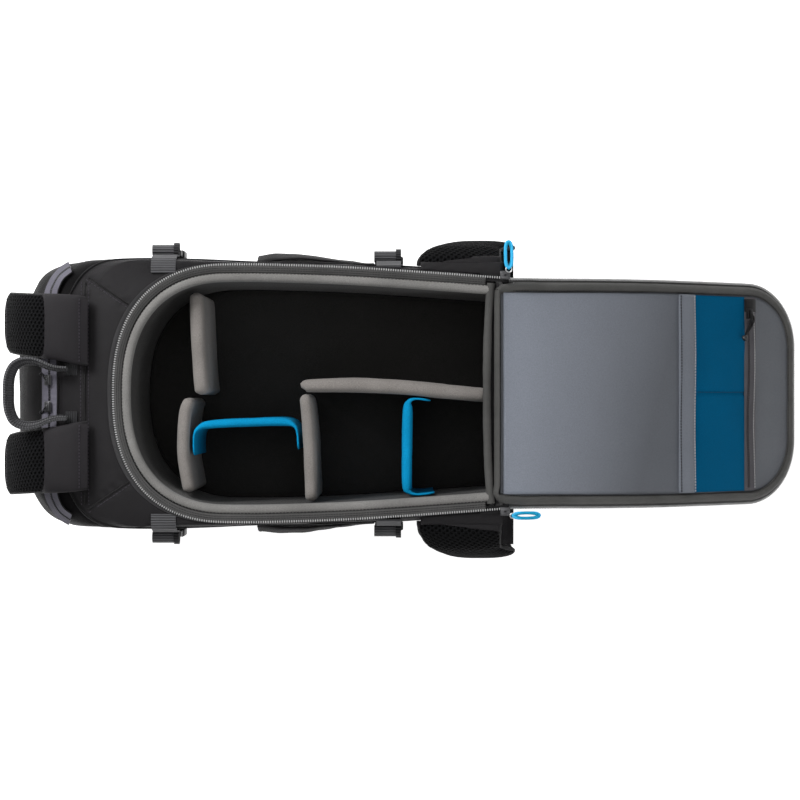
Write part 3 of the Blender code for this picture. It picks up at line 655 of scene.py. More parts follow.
CHARCOAL = (0.0085, 0.0075, 0.0088)
LOOKS = {
    "shell": woven("shell_nylon", CHARCOAL, specular=0.22),
    "hood": woven("hood_nylon", shade(CHARCOAL, 0.4), wrinkle=0.0014, sheen=0.01, specular=0.08),
    "strap_cloth": woven("strap_nylon", shade(CHARCOAL, 1.7), wrinkle=0.0005, specular=0.18),
    "stretch": woven("stretch_knit", shade(CHARCOAL, 0.7), period=0.0014, roughness=0.8, depth=0.0002),
    "mesh": spacer_mesh("spacer_mesh", (0.004, 0.004, 0.0044)),
    # painted shade: the lining of the walls and floor is near black, about a tenth of the grey of the rim
    # binding and divider lining, standing in for the shade deep inside the bag
    "lining": brushed("brushed_lining_painted_shade", (0.026, 0.025, 0.024)),
    "floor_lining_painted_shade": brushed("floor_lining_painted_shade", (0.03, 0.029, 0.028), vary=0.06),
    "divider_grey": brushed("divider_lining", (0.25, 0.232, 0.218), vary=0.08),
    "divider_blue": brushed("divider_blue_lining", (0.0, 0.28, 0.56), vary=0.08, sheen=0.0),
    "pocket_blue": woven("pocket_blue_nylon", (0.0, 0.088, 0.195), roughness=0.7, vary=0.06, wrinkle=0.0007,
                         sheen=0.0, specular=0.03),
    "lid_grey": woven("lid_nylon", (0.112, 0.120, 0.135), roughness=0.5, vary=0.05, wrinkle=0.0010),
    # painted light and shade on the lid's film pocket: its fade keeps the hinge end light and darkens the
    # colour to 0.36 of it towards the far end, most on the -y side
    "film": woven("pocket_satin_painted_shade", (0.245, 0.268, 0.318), roughness=0.38, vary=0.03, wrinkle=0.0005,
                  sheen=0.05,
                  specular=0.4, fade=(0.21, 0.36)),
    "hem": woven("hem_satin", (0.155, 0.17, 0.2), roughness=0.45, vary=0.05, wrinkle=0.0006, sheen=0.1),
    "binding": brushed("rim_binding_lining", (0.225, 0.22, 0.212), vary=0.12),
    "lid_binding": ribbed("lid_binding_tape", (0.078, 0.077, 0.074), period=0.0011, depth=0.00015),
    "piping": ribbed("piping_tape", (0.008, 0.0075, 0.0085), period=0.0012),
    "rim_band": ribbed("rim_band_tape", (0.042, 0.041, 0.043), period=0.0013, depth=0.0003),
    "tape": ribbed("zip_tape", (0.072, 0.071, 0.07), period=0.0012, depth=0.00015),
    "light_tape": ribbed("light_zip_tape", (0.125, 0.12, 0.15), period=0.0012, depth=0.00015),
    "dark_tape": ribbed("lid_zip_tape", (0.09, 0.085, 0.095), period=0.0012, depth=0.00015),
    "webbing": ribbed("strap_webbing", (0.075, 0.075, 0.08), period=0.0024, depth=0.0005),
    "dark_webbing": ribbed("dark_webbing", (0.02, 0.02, 0.022), period=0.0024, depth=0.0005),
    "buckle": moulded("acetal", (0.012, 0.012, 0.013)),
    "teeth": moulded("coil_teeth", (0.4, 0.4, 0.4), 0.35),
    "dark_teeth": moulded("dark_coil", (0.02, 0.019, 0.024), 0.35),
    "zinc": metal("zinc", (0.1, 0.1, 0.104)),
    "black_metal": metal("black_metal", (0.035, 0.035, 0.037)),
    "steel": metal("bright_ring", (0.6, 0.6, 0.6), 0.25),
    "blue_cord": braided("blue_cord", (0.01, 0.36, 0.62)),
    "black_cord": braided("black_cord", (0.01, 0.01, 0.011)),
    "thread": ribbed("dark_thread", (0.01, 0.009, 0.01), period=0.0006),
    "shell_thread": ribbed("shell_thread", (0.06, 0.052, 0.068), period=0.0006),
    "grey_thread": ribbed("grey_thread", (0.55, 0.55, 0.56), period=0.0006),
}


# ---- the shell --------------------------------------------------------------------------------
TOP_SEAM_X = -171.0
REAR_SEAMS = [((TOP_SEAM_X, -112), (TOP_SEAM_X, 112))]
REAR_SEAMS += [((-169, s * 112), (-127, s * 84)) for s in (1, -1)]
Z_UP = Vector((0, 0, 1))


def wrinkle(p, size, deep, seed=0.0):
    spot = Vector((p[0] / size + seed, p[1] / size, p[2] / size - seed))
    return deep * (noise.noise(spot) + 0.45 * noise.noise(spot * 2.7))


def off_segment(p, a, b):
    """Distance in plan from a point to a straight seam."""
    ax, ay, bx, by = *a, *b
    dx, dy = bx - ax, by - ay
    t = max(0.0, min(1.0, ((p[0] - ax) * dx + (p[1] - ay) * dy) / (dx * dx + dy * dy)))
    return math.hypot(p[0] - ax - t * dx, p[1] - ay - t * dy)


def groove(distance, deep=1.3, width=2.2):
    return -deep * math.exp(-((distance / width) ** 2))


def ring_of(half):
    """A closed row from a half outline that starts and ends on the middle line."""
    return [(x, -y) for x, y in reversed(half[1:-1])] + half


def make_front_shell():
    """The flat front pocket and the front panel that the bag lies on."""
    base = ring_of(half_outline(0))
    middle = 96.0
    rows = [[(middle + (x - middle) * f, y * f, 0.05) for x, y in base] for f in (0.02, 0.3, 0.6, 0.85,
                                                                                  0.97)]
    for z in (0.05, 0.8, 2, 4, 7, 10, 14, 18, 23, 28, 33, 37, 39, 40, 41, 43, 46, 49, 52):
        rows.append([(x, y, z) for x, y in ring_of(half_outline(z))])

    def amount(p):
        fade = min(1.0, p[2] / 8)
        return fade * (min(0.2, wrinkle(p, 60, 1.6) - 0.7) + groove(p[2] - 40, 1.6, 2.4))

    grid = push(rows, amount, (0, 0, 30), ring=True)
    grid[..., 2] = np.maximum(grid[..., 2], 0.05)
    skin("front_pocket_shell", grid, LOOKS["shell"], "bag", ("front_pocket", "front_panel"),
         ring=True, caps=True)
    edge = [Vector((x, y, 40.3)) for x, y in ring_of(half_outline(40))]
    tube("front_pocket_piping", edge + [edge[0]], 1.5, LOOKS["piping"], "bag", closed=True,
         step=6)


SIDE_ROWS = [52.3, 54, 57, 62, 70, 80, 92, 104, 116, 128, 140, 150, 158, 166, 173, 179, 184, 188, 191, 193.5,
             195, 196]


def side_amount(p):
    puff = -0.4 - 0.9 * abs((p[2] - 124) / 72) ** 4
    seams = groove(p[0] - SEAM_X, 1.4, 2.6) + groove(p[2] - 52, 1.2, 2.6) + groove(p[2] - 196, 1.0, 2.2)
    return min(0.3, puff + wrinkle(p, 70, 1.5) + wrinkle((p[0], p[1], p[2] * 2.2), 34, 0.5)) + seams


def make_sides():
    stations = [SEAM_X + (BASE_X - 0.3 - SEAM_X) * k / 90 for k in range(91)]
    for side, sign in (("left", 1), ("right", -1)):
        rows = [[(x, sign * body_half_width(x, z), z) for x in stations] for z in SIDE_ROWS]
        core = (90, 0, 124)
        skin(f"side_panel_{side}_skin", push(rows, side_amount, core), LOOKS["shell"], "bag",
             (f"side_panel_{side}",), thickness=2.0, core=core)
    rows = []
    for z in SIDE_ROWS:
        high = slice_at(z)[1]
        half = [(BASE_X + (high - BASE_X) * math.sin(math.pi / 2 * k / 14), 0) for k in range(15)]
        half = [(x, body_half_width(x, z) if x < high - 0.01 else 0.0) for x, _ in half]
        rows.append([(x, y, z) for x, y in half] + [(x, -y, z) for x, y in reversed(half[:-1])])
    core = (0, 0, 124)
    skin("base_panel_skin", push(rows, side_amount, core), LOOKS["shell"], "bag",
         ("base_panel",),
         thickness=2.0, core=core)


def make_hood():
    """The soft top compartment, with the folds of an empty pouch."""
    rows = []
    for z in SIDE_ROWS:
        low = slice_at(z)[0]
        power = 2 / CAP_POWER
        xs = [low + TOP_CAP * (1 - math.cos(math.pi / 2 * k / 34) ** power) for k in range(34)]
        xs += [low + TOP_CAP + (SEAM_X - 0.3 - low - TOP_CAP) * k / 34 for k in range(35)]
        half = [(x, body_half_width(x, z) if k else 0.0) for k, x in enumerate(xs)]
        rows.append([(x, y, z) for x, y in both_sides(half)])

    def amount(p):
        slack = wrinkle(p, 52, 2.6, 3.0) + wrinkle((p[0] * 0.5, p[1] * 0.5, p[2] * 1.8), 24, 0.9, 1.0)
        seams = groove(p[0] - SEAM_X, 1.4, 2.6) + groove(p[2] - 52, 1.2, 2.6) + groove(p[2] - 196, 1.0, 2.2)
        return min(0.3, slack - 1.0) + seams

    core = (0, 0, 124)
    skin("top_compartment_hood", push(rows, amount, core), LOOKS["hood"], "bag",
         ("top_compartment",), thickness=2.0, core=core)


REAR_BLEND_Z = 203.5
GROUND = {}


def drop(x, y, lift=0.0):
    """The point of the finished shell straight below (x, y), lifted a little along its normal."""
    found = None
    for name in ("rear_panel_skin", "top_compartment_hood"):
        if name not in GROUND:
            mesh = bpy.data.objects[name].data
            GROUND[name] = BVHTree.FromPolygons([v.co / MM for v in mesh.vertices],
                                                [p.vertices for p in mesh.polygons])
        hit, normal, _, _ = GROUND[name].ray_cast(Vector((x, y, 300)), Vector((0, 0, -1)))
        if hit and (found is None or hit.z > found[0].z):
            found = (hit, normal if normal.z > 0 else -normal)
    if found is None:
        return top_point(x, y, lift)[0]
    return found[0] + found[1] * lift


def seam_line(a, b, step=4.0):
    count = max(2, int(math.hypot(b[0] - a[0], b[1] - a[1]) / step))
    return [(a[0] + (b[0] - a[0]) * k / count, a[1] + (b[1] - a[1]) * k / count) for k in range(count + 1)]


def opening_ring(inset):
    line = half_opening(inset, 222)[:-1]
    x, y = 222.0, smooth_table(OPENING_HALF_WIDTH, 222) - inset
    line += [(x + 4 * math.sin(math.pi / 2 * k / BASE_STEPS), y * math.cos(math.pi / 2 * k / BASE_STEPS))
             for k in range(BASE_STEPS + 1)]
    return ring_of(line)


def rim_height(x):
    return 207.4 - 4.4 * max(0.0, min(1.0, (x - 206) / 14)) ** 1.5


def make_rear_panel():
    """The panel round the opening: a hip roof of flat facets between stitched seams."""
    rows = [[(x, y, z) for x, y in ring_of(half_outline(z))] for z in (196.3, 198, 200, 202, REAR_BLEND_Z)]
    outer, inner = ring_of(half_outline(REAR_BLEND_Z)), opening_ring(0.4)
    for k in range(1, 37):
        t = k / 36
        ease = math.sin(t * math.pi / 2)
        rows.append([(a[0] + (b[0] - a[0]) * t, a[1] + (b[1] - a[1]) * t,
                      REAR_BLEND_Z + (rim_height(b[0]) - REAR_BLEND_Z) * ease) for a,
                      b in zip(outer, inner)])
    deep = opening_ring(9.0)
    rows.append([(x, y, rim_height(x) - 0.2) for x, y in opening_ring(1.2)])
    rows.append([(x, y, rim_height(x) - 2.0) for x, y in deep])

    def amount(p):
        flat = min(0.25, wrinkle(p, 46, 0.9, 5.0) - 0.35)
        return flat + sum(groove(off_segment(p, a, b), 1.6, 1.9) for a, b in REAR_SEAMS)

    core = (20, 0, -2000)
    skin("rear_panel_skin", push(rows, amount, core, ring=True), LOOKS["shell"], "bag",
         ("rear_panel",), ring=True, thickness=1.6, core=core)
    edge = [Vector((x, y, 196.2)) for x, y in ring_of(half_outline(196))]
    tube("rear_panel_piping", edge + [edge[0]], 1.0, LOOKS["piping"], "bag", closed=True,
         step=5)
    seams = [("top", (TOP_SEAM_X, -108), (TOP_SEAM_X, 108), (-4.0, 3.6))]
    seams += [(f"corner_{side}", (-168, sign * 113), (-126, sign * 85), (3.0,))
              for side, sign in (("left", 1), ("right", -1))]
    for name, a, b, shifts in seams:
        length = math.hypot(b[0] - a[0], b[1] - a[1])
        nx, ny = (b[1] - a[1]) / length, -(b[0] - a[0]) / length
        line = [drop(x, y, 0.1) for x, y in seam_line(a, b)]
        tube(f"{name}_seam_fold", line, 1.0, LOOKS["thread"], "bag", step=4)
        for number, shift in enumerate(shifts):
            side = [drop(x + nx * shift, y + ny * shift, 0.05) for x, y in seam_line(a, b)]
            beads(f"{name}_seam_stitches_{number}", side, Z_UP, 3.6, (2.4, 0.75, 0.4), LOOKS["shell_thread"],
                  "bag")


# ---- the rim ----------------------------------------------------------------------------------
def opening_path(inset, x_end, z, step=3.0):
    half = half_opening(inset, x_end, 40, 90)
    return resample([(x, y, z) for x, y in both_sides(half)][::2], step)


def make_rim():
    path = opening_path(4.6, 219, RIM_Z + 0.1)
    sweep("rim_tape", path, [(-4.2, 0), (4.0, 0), (4.0, 1.3), (3.6, 1.7), (-3.6, 1.7), (-4.2, 1.3)], Z_UP,
          LOOKS["tape"], "bag", ("rim_zip_tape",))
    for side, sign in (("left", 1), ("right", -1)):
        tail = [Vector((x, sign * (smooth_table(OPENING_HALF_WIDTH, x) - 0.9),
                        RIM_Z - 0.3)) for x in range(214, 243, 3)]
        sweep(f"rim_tape_tail_{side}", tail, [(-3.4, 0), (3.9, 0), (3.9, 1.3), (-3.4, 1.3)], Z_UP,
              LOOKS["piping"],
              "bag")
    teeth = opening_path(0.9, 235, RIM_Z + 1.2, 2.3)
    beads("rim_coil", teeth, Z_UP, 2.3, (2.3, 1.2, 1.3), LOOKS["teeth"], "bag", turned=True)
    outer, inner = ring_of(half_outline(REAR_BLEND_Z)), opening_ring(0.0)
    rows = []
    for k in range(9):
        row = []
        for a, b in zip(outer, inner):
            if b[0] < 219:
                t = 1 - min(0.93, 4.8 / math.hypot(a[0] - b[0], a[1] - b[1])) * (1 - k / 8)
                z = REAR_BLEND_Z + (rim_height(b[0]) - REAR_BLEND_Z) * math.sin(t * math.pi / 2)
                z += 0.25 + 0.9 * math.sin(math.pi * (0.12 + 0.76 * k / 8))
                row.append((a[0] + (b[0] - a[0]) * t, a[1] + (b[1] - a[1]) * t, z))
        rows.append(row)
    skin("rim_outer_band", rows, LOOKS["rim_band"], "bag", thickness=0.5, core=(20, 0, -2000),
         turn_uv=True)
    for number, inset in enumerate((4.3, 6.4)):
        line = opening_path(inset, 218, RIM_Z + 1.75, 2.7)
        beads(f"rim_tape_stitches_{number}", line, Z_UP, 2.7, (1.9, 0.6, 0.35), LOOKS["thread"], "bag")
    roll = opening_path(13.3, 222, 206.3)

    def section(i, share):
        swell = 1 + 0.10 * noise.noise(Vector((i * 0.35, 1.7, 0))) + 0.05 * noise.noise(Vector((i * 1.1, 4,
                                                                                                0)))
        loop = []
        for k in range(14):
            turn = 2 * math.pi * k / 14
            a, b = math.cos(turn), math.sin(turn)
            loop.append((4.55 * math.copysign(abs(a) ** 0.8, a), (4.4 if b > 0 else 3.6) * swell * b))
        return loop

    sweep("rim_binding_roll", roll, section, Z_UP, LOOKS["binding"], "bag", ("rim_binding",),
          sharp=70)
    seam = opening_path(9.6, 220, 208.9, 3.4)
    beads("rim_binding_stitches", seam, Z_UP, 3.4, (2.3, 0.6, 0.4), LOOKS["thread"], "bag")


# ---- the lining -------------------------------------------------------------------------------
def make_lining():
    path = opening_path(13.6, BASE_X - 0.5, 52.6, 5)

    def section(i, share):
        p = path[i]
        top = (BASE_WALL_TOP if p.x > 221 else LINER_TOP) - 52.8
        loop = [(-4.2, 0), (-4.2, top - 1), (-3.2, top), (3.4, top)]
        for k in range(1, 22):
            t = k / 22
            z = top * (1 - t)
            soft = 0.9 * noise.noise(Vector((p.x / 40, p.y / 40, z / 40)))
            line = groove(z - top + 12, 1.1, 1.8) + groove(z - 10, 0.8, 3)
            loop.append((min(4.35, 3.7 + soft + line), z))
        return loop + [(4.2, 0)]

    # the walls' near-black lining colour is painted shade of the bag's deep interior
    sweep("padded_walls", path, section, Z_UP, LOOKS["lining"], "bag",
          ("liner_side_left", "liner_side_right", "liner_top_wall"))
    end = smooth_table(OPENING_HALF_WIDTH, HINGE_WALL_X) - 19.5
    cushion("padded_base_wall", (HINGE_WALL_X + 0.4, -end, 52.8), (BASE_X - 0.8, end, BASE_WALL_TOP - 0.4),
            LOOKS["lining"], "bag", ("liner_base_wall",), crown=0.5, rounding=3.5)
    rows = []
    for k in range(60):
        x = -125.0 + 350.4 * k / 59
        half = opening_half_width(x, 18.6)
        half = max(half, 6.0)
        rows.append([(x, half * (j / 20 - 1), 59.2 + 0.7 * noise.noise(Vector((x / 30,
                                                                               half * (j / 20 - 1) / 30, 0)))
                      - 2.4 * abs(j / 20 - 1) ** 24) for j in range(41)])
    # the floor's near-black lining colour is painted shade of the bag's deep interior
    skin("padded_floor", rows, LOOKS["floor_lining_painted_shade"], "bag", ("liner_floor",), thickness=5.5,
         core=(50, 0, -2000))


def cushion(name, low, high, look, body, replaces=(), crown=1.5, rounding=4.0, cell=6.0, place=None,
            lumps=0.4):
    """A padded block with rounded edges, crowned faces and slight lumps."""
    low, high = Vector(low), Vector(high)
    size = high - low
    counts = [max(4, int(size[k] / cell)) for k in range(3)]
    r = min(rounding, min(size) / 2 - 0.01)
    index, points, faces = {}, [], []

    def corner(i, j, k):
        key = (i, j, k)
        if key in index:
            return index[key]
        share = [key[n] / counts[n] for n in range(3)]
        p = Vector([low[n] + size[n] * share[n] for n in range(3)])
        core = Vector([min(max(p[n], low[n] + r), high[n] - r) for n in range(3)])
        out = p - core
        if out.length > 1e-6:
            p = core + out.normalized() * r
        for n in range(3):
            if key[n] in (0, counts[n]):
                a, b = [m for m in range(3) if m != n]
                swell = (1 - (2 * share[a] - 1) ** 4) * (1 - (2 * share[b] - 1) ** 4)
                bump = lumps * noise.noise(p / 22)
                p[n] += (1 if key[n] else -1) * (crown * swell + bump * swell)
        index[key] = len(points)
        points.append(place(p) if place else p)
        return index[key]

    for n in range(3):
        a, b = [m for m in range(3) if m != n]
        for end in (0, counts[n]):
            for i in range(counts[a]):
                for j in range(counts[b]):
                    quad = []
                    for di, dj in ((0, 0), (1, 0), (1, 1), (0, 1)):
                        key = [0, 0, 0]
                        key[n], key[a], key[b] = end, i + di, j + dj
                        quad.append(corner(*key))
                    faces.append(tuple(quad))
    return new_piece(name, points, faces, look, body, replaces, sharp=60)


# ---- dividers ---------------------------------------------------------------------------------
DIVIDERS = {
    "divider_top_left": ("divider_grey", 190, [(-64.5, 99, 13), (-63.5, 80, 15), (-61, 30, 15),
                                               (-58.5, -1, 15)]),
    "divider_top_right": ("divider_grey", 189, [(-70.5, -5, 11), (-75, -18, 13), (-77, -42, 13),
                                                (-76.5, -65, 13),
                                                (-71, -97, 13)]),
    "divider_blue_bracket": ("divider_blue", 186, [
        (-66.5, -61, 2), (-66.5, -42, 2), (-62, -34, 4.5), (-50, -30.5, 8.5), (-10, -28.5, 8.5),
        (20, -28, 8.5), (31, -31, 4.5), (34.8, -38, 2), (36, -55, 2)]),
    "divider_middle": ("divider_grey", 190, [(40, 5, 9), (47, 7.5, 13), (90, 8.2, 15), (136, 6.2, 15),
                                             (180, 2, 15),
                                             (223, -2, 14)]),
    "divider_lens_grey": ("divider_grey", 189, [(41.5, -1.2, 10), (44, -13, 12.5), (47, -50, 13),
                                                (49, -106, 13)]),
    "divider_lens_blue": ("divider_blue", 187, [
        (166, -7, 2), (152, -5.4, 2), (145, -8, 5), (143.5, -17, 10), (143, -50, 10.5), (143, -90, 10),
        (145, -96.5, 5), (152, -99.3, 2), (170, -97.9, 2)]),
}


def make_dividers():
    for name, (look, top, stations) in DIVIDERS.items():
        slot = "accent_blue" if "blue" in look else "lining"
        path = resample(stations, 2.2)
        count = len(path)
        rows = []
        for i, spot in enumerate(path):
            before, after = path[max(i - 1, 0)], path[min(i + 1, count - 1)]
            along = Vector((after.x - before.x, after.y - before.y, 0)).normalized()
            across = Vector((-along.y, along.x, 0))
            end = min(i, count - 1 - i) * 2.2
            soft_end = math.sqrt(max(0.0, 1 - max(0.0, 1 - end / 5.5) ** 2))
            half = max(0.55, spot.z / 2 * (0.30 + 0.70 * soft_end))
            drop = 6.0 * (1 - math.sqrt(max(0.0, 1 - max(0.0, 1 - end / 9) ** 2)))
            crest = top - drop + 1.3 * noise.noise(Vector((i * 0.12, top, 0)))
            loop = []
            low = FLOOR_TOP + 0.4
            shoulder = min(half * 1.15, 7.5)
            for side in (-1, 1):
                line = []
                for k in range(16):
                    z = low + (crest - shoulder - low) * k / 15
                    lump = 0.7 * noise.noise(Vector((spot.x / 26, spot.y / 26 + side * 7, z / 26)))
                    seam = groove(z - crest + 15, 0.9, 1.4) if half > 4 else 0
                    line.append((side * (half * 0.95 + min(0.2, lump) * soft_end + seam * soft_end), z))
                for k in range(1, 7):
                    turn = math.pi / 2 * k / 7
                    line.append((side * half * 0.95 * math.cos(turn) ** 0.8,
                                 crest - shoulder * (1 - math.sin(turn))))
                loop += line[::-1] if side == 1 else line
                if side == -1:
                    loop.append((0, crest))
            rows.append([Vector((spot.x, spot.y, 0)) + across * a + Vector((0, 0, z)) for a, z in loop])
        made = skin(name + "_pad", rows, LOOKS[look], name + "_body", (name,), ring=True, caps=True,
                    sharp=65)


# ---- the lid ----------------------------------------------------------------------------------
TILT = math.radians(LID_TILT)
LID_UP = Vector((math.sin(TILT), 0, math.cos(TILT)))
LID_ALONG = Vector((math.cos(TILT), 0, -math.sin(TILT)))


def lid_point(u, v=None, w=None):
    if v is None:
        u, v, w = u
    return HINGE + LID_ALONG * u + Vector((0, v, 0)) + LID_UP * w


LID_BEHIND = lid_point(190, 0, -2000)


def lid_half(u, inset):
    clear = LID_LENGTH - LID_CORNER
    width = smooth_table(LID_HALF_WIDTH, min(u, clear)) - inset
    if u <= clear:
        return width
    radius = LID_CORNER - inset
    return width - radius + math.sqrt(max(radius**2 - (u - clear) ** 2, 0))


def lid_rows(u0, u1, inset, height, steps, columns=41):
    """A grid over a stretch of the lid's inner side. height(u, v, share across) gives w."""
    rows = []
    for k in range(steps + 1):
        u = u0 + (u1 - u0) * k / steps
        half = lid_half(u, inset)
        rows.append([lid_point(u, half * (2 * j / (columns - 1) - 1),
                               height(u, half * (2 * j / (columns - 1) - 1),
                                                                            2 * j / (columns - 1) - 1))
                     for j in range(columns)])
    return rows


def lid_edge(inset, start, w, step=3.0, closed=False):
    """Points round the lid's outline, from one hinge corner to the other."""
    far, radius = LID_LENGTH - inset, LID_CORNER - inset
    line = [(start + (far - radius - start) * k / 12, 0) for k in range(12)]
    half = [(u, smooth_table(LID_HALF_WIDTH, u) - inset) for u, _ in line]
    side = smooth_table(LID_HALF_WIDTH, far - radius) - inset - radius
    for k in range(13):
        turn = math.pi / 2 * k / 12
        half.append((far - radius + radius * math.sin(turn), side + radius * math.cos(turn)))
    path = half + [(far, side * (1 - k / 4)) for k in range(1, 4)]
    path = path + [(far, 0)] + [(u, -v) for u, v in reversed(path)]
    if closed:
        v = path[0][1]
        path = [(start + 0.5, v - 3.5)] + path[1:-1] + [(start + 0.5, 3.5 - v)]
        path = path + [(start, (3.5 - v) * (1 - k / 8)) for k in range(1, 16)] + [path[0]]
    return resample([lid_point(u, v, w) for u, v in path], step)


def make_lid_linings():
    def panel(u, v, s):
        soft = wrinkle((u, v * 0.6, 0), 42, 0.9, 9.0) + wrinkle((u * 0.4, v, 0), 16, 0.25)
        return -2.6 + min(0.7, soft) - 1.2 * abs(s) ** 16

    skin("lid_lining_panel", lid_rows(8.0, 380.5, 7.4, panel, 92), LOOKS["lid_grey"], "lid",
         ("lid_lining",), thickness=3.0, sharp=70, core=LID_BEHIND)

    def film(u, v, s):
        t = (u - 10) / 219
        bulge = 3.0 * (max(0.0, math.sin(math.pi * t)) ** 0.5) * (1 - abs(s) ** 5)
        folds = 0.8 * noise.noise(Vector((u / 60, v / 120, 2))) + 0.35 * noise.noise(Vector((u / 26, v / 90,
                                                                                             5)))
        return -1.35 + bulge * (0.75 + 0.25 * math.cos(t * 3)) + folds * (1 - abs(s) ** 3)

    skin("lid_film_pocket_panel", lid_rows(9.8, 231, 10.2, film, 84, 61), LOOKS["film"], "lid",
         ("lid_film_pocket",), thickness=0.7, sharp=80, core=LID_BEHIND)

    def hem(u, v, s):
        t = (u - 229) / 22
        ridge = math.sin(math.pi * min(1, max(0, t))) ** 0.4
        return -1.2 + 2.3 * ridge + 0.35 * noise.noise(Vector((v / 30, t * 2, 0))) - 0.6 * abs(s) ** 12

    made = skin("lid_pocket_hem", lid_rows(229, 251, 9.9, hem, 16, 61), LOOKS["hem"], "lid",
                thickness=0.9, sharp=80, core=LID_BEHIND)
    seams = {"hem_edge": (249.0, "grey_thread", 1.15), "hem_inner": (231.5, "thread", 0.1)}
    for name, (u, look, w) in seams.items():
        half = lid_half(u, 12)
        line = [lid_point(u + 0.5 * math.sin(v / 23), v, w + 0.1) for v in np.linspace(-half, half, 40)]
        beads(f"lid_{name}_stitches", line, LID_UP, 3.0, (2.3, 1.1, 0.6), LOOKS[look], "lid")

    def blue(u, v, s):
        t = (u - 251) / 66.5
        bulge = 1.5 * max(0.0, math.sin(math.pi * t)) ** 0.6 * (1 - abs(s) ** 8)
        soft = 0.5 * noise.noise(Vector((u / 24, v / 45, 8)))
        return -1.4 + bulge + soft * (1 - abs(s) ** 4) + groove(v, 1.5, 1.3)

    skin("lid_blue_pocket_panel", lid_rows(250.6, 318.6, 10.2, blue, 30, 121), LOOKS["pocket_blue"], "lid",
         ("lid_blue_pocket",), thickness=0.7, sharp=80, core=LID_BEHIND)
    line = [lid_point(u, 1.6, 0.1) for u in np.linspace(254, 316, 20)]
    beads("lid_blue_pocket_stitches", line, LID_UP, 3.0, (2.0, 0.5, 0.3), LOOKS["thread"], "lid")


def make_lid_zip():
    def tape(u, v, s):
        return -1.3 + 0.5 * math.sin(math.pi * (u - 318) / 16) + 0.25 * noise.noise(Vector((u / 12, v / 30,
                                                                                            3)))

    skin("lid_pocket_zip_tape", lid_rows(318.2, 333.6, 10.4, tape, 8, 61), LOOKS["dark_tape"], "lid",
         ("lid_pocket_zip",), thickness=0.6, sharp=80, core=LID_BEHIND)
    half = lid_half(324, 14)
    coil = [lid_point(323.5 + 0.9 * math.sin(v / 21), v, -0.75) for v in np.linspace(-half, 76, 60)]
    beads("lid_pocket_coil", coil, LID_UP, 1.9, (3.4, 1.2, 1.3), LOOKS["dark_teeth"], "lid",
          turned=True)
    seam = [lid_point(331.0 + 0.9 * math.sin(v / 21), v, -0.55) for v in np.linspace(-half, half, 60)]
    beads("lid_pocket_zip_stitches", seam, LID_UP, 3.0, (2.3, 1.1, 0.5), LOOKS["grey_thread"], "lid")
    rows = [[lid_point(u, v, w) for u, w in ((317.6, -0.6), (320, 0.5), (327, 0.7), (332.5, 0.1))]
            for v in np.linspace(86, lid_half(322, 12.5), 9)]
    skin("lid_pocket_zip_end_tab", rows, LOOKS["piping"], "lid", thickness=0.6,
         core=LID_BEHIND)


def make_lid_edges():
    path = lid_edge(4.3, 4.3, -4.4, 3.0, closed=True)

    def section(i, share):
        swell = 1 + 0.10 * noise.noise(Vector((i * 0.22, 7.7, 0))) + 0.05 * noise.noise(Vector((i * 0.8, 2,
                                                                                                0)))
        along = (path[i] - HINGE).dot(LID_ALONG)
        flat = 0.55 if along < 7 else 1.12
        if along > 330:
            swell += 0.09 * math.sin(i * 2.1)
        loop = []
        for k in range(16):
            turn = 2 * math.pi * k / 16
            ridge = 1 + 0.05 * math.cos(4 * turn)
            loop.append((4.15 * flat * math.cos(turn), 4.15 * swell * ridge * math.sin(turn)))
        return loop

    sweep("lid_binding_roll", path, section, LID_UP, LOOKS["lid_binding"], "lid",
          ("lid_binding",),
          sharp=70)
    inner = lid_edge(8.4, 12, -1.55, 3.4)
    beads("lid_binding_stitches", inner, LID_UP, 3.4, (2.3, 0.6, 0.5), LOOKS["thread"], "lid")
    tape = lid_edge(-1.6, 19.5, -6.0, 3)
    sweep("lid_tape", tape, [(-2.2, -0.6), (1.7, -0.6), (1.7, 0.5), (-2.2, 0.5)], LID_UP, LOOKS["tape"],
          "lid",
          ("lid_zip_tape",))
    beads("lid_coil", lid_edge(-3.3, 19.5, -5.6, 1.9), LID_UP, 1.9, (2.6, 1.2, 1.2), LOOKS["teeth"], "lid",
          turned=True)


def make_hinge_strip():
    """The bound edge that joins the base wall to the lid. It bends between the two."""
    path = []
    for k in range(41):
        s = 2 * k / 40 - 1
        path.append(Vector((223.4 - 3.0 * (1 - s * s) + 1.0 * abs(s) ** 6, 107 * s, 207.6)))

    def section(i, share):
        swell = 1 + 0.12 * noise.noise(Vector((i * 0.5, 3.3, 0)))
        return [(3.9 * math.cos(2 * math.pi * k / 14) * swell, 3.4 * math.sin(2 * math.pi * k / 14))
                for k in range(14)]

    sweep("hinge_binding", path, section, Z_UP, LOOKS["lid_binding"], "bag", sharp=70)
    rows = []
    for k in range(9):
        t = k / 8
        x = 223.5 + 7.5 * t
        z = 204.5 + 5.5 * t - 2.5 * math.sin(math.pi * t)
        rows.append([Vector((x, 107 * (j / 15 - 1), z)) for j in range(31)])
    made = skin("hinge_fabric", rows, LOOKS["shell"], "bag", thickness=1.0,
                core=(230, 0, 0))
    return made


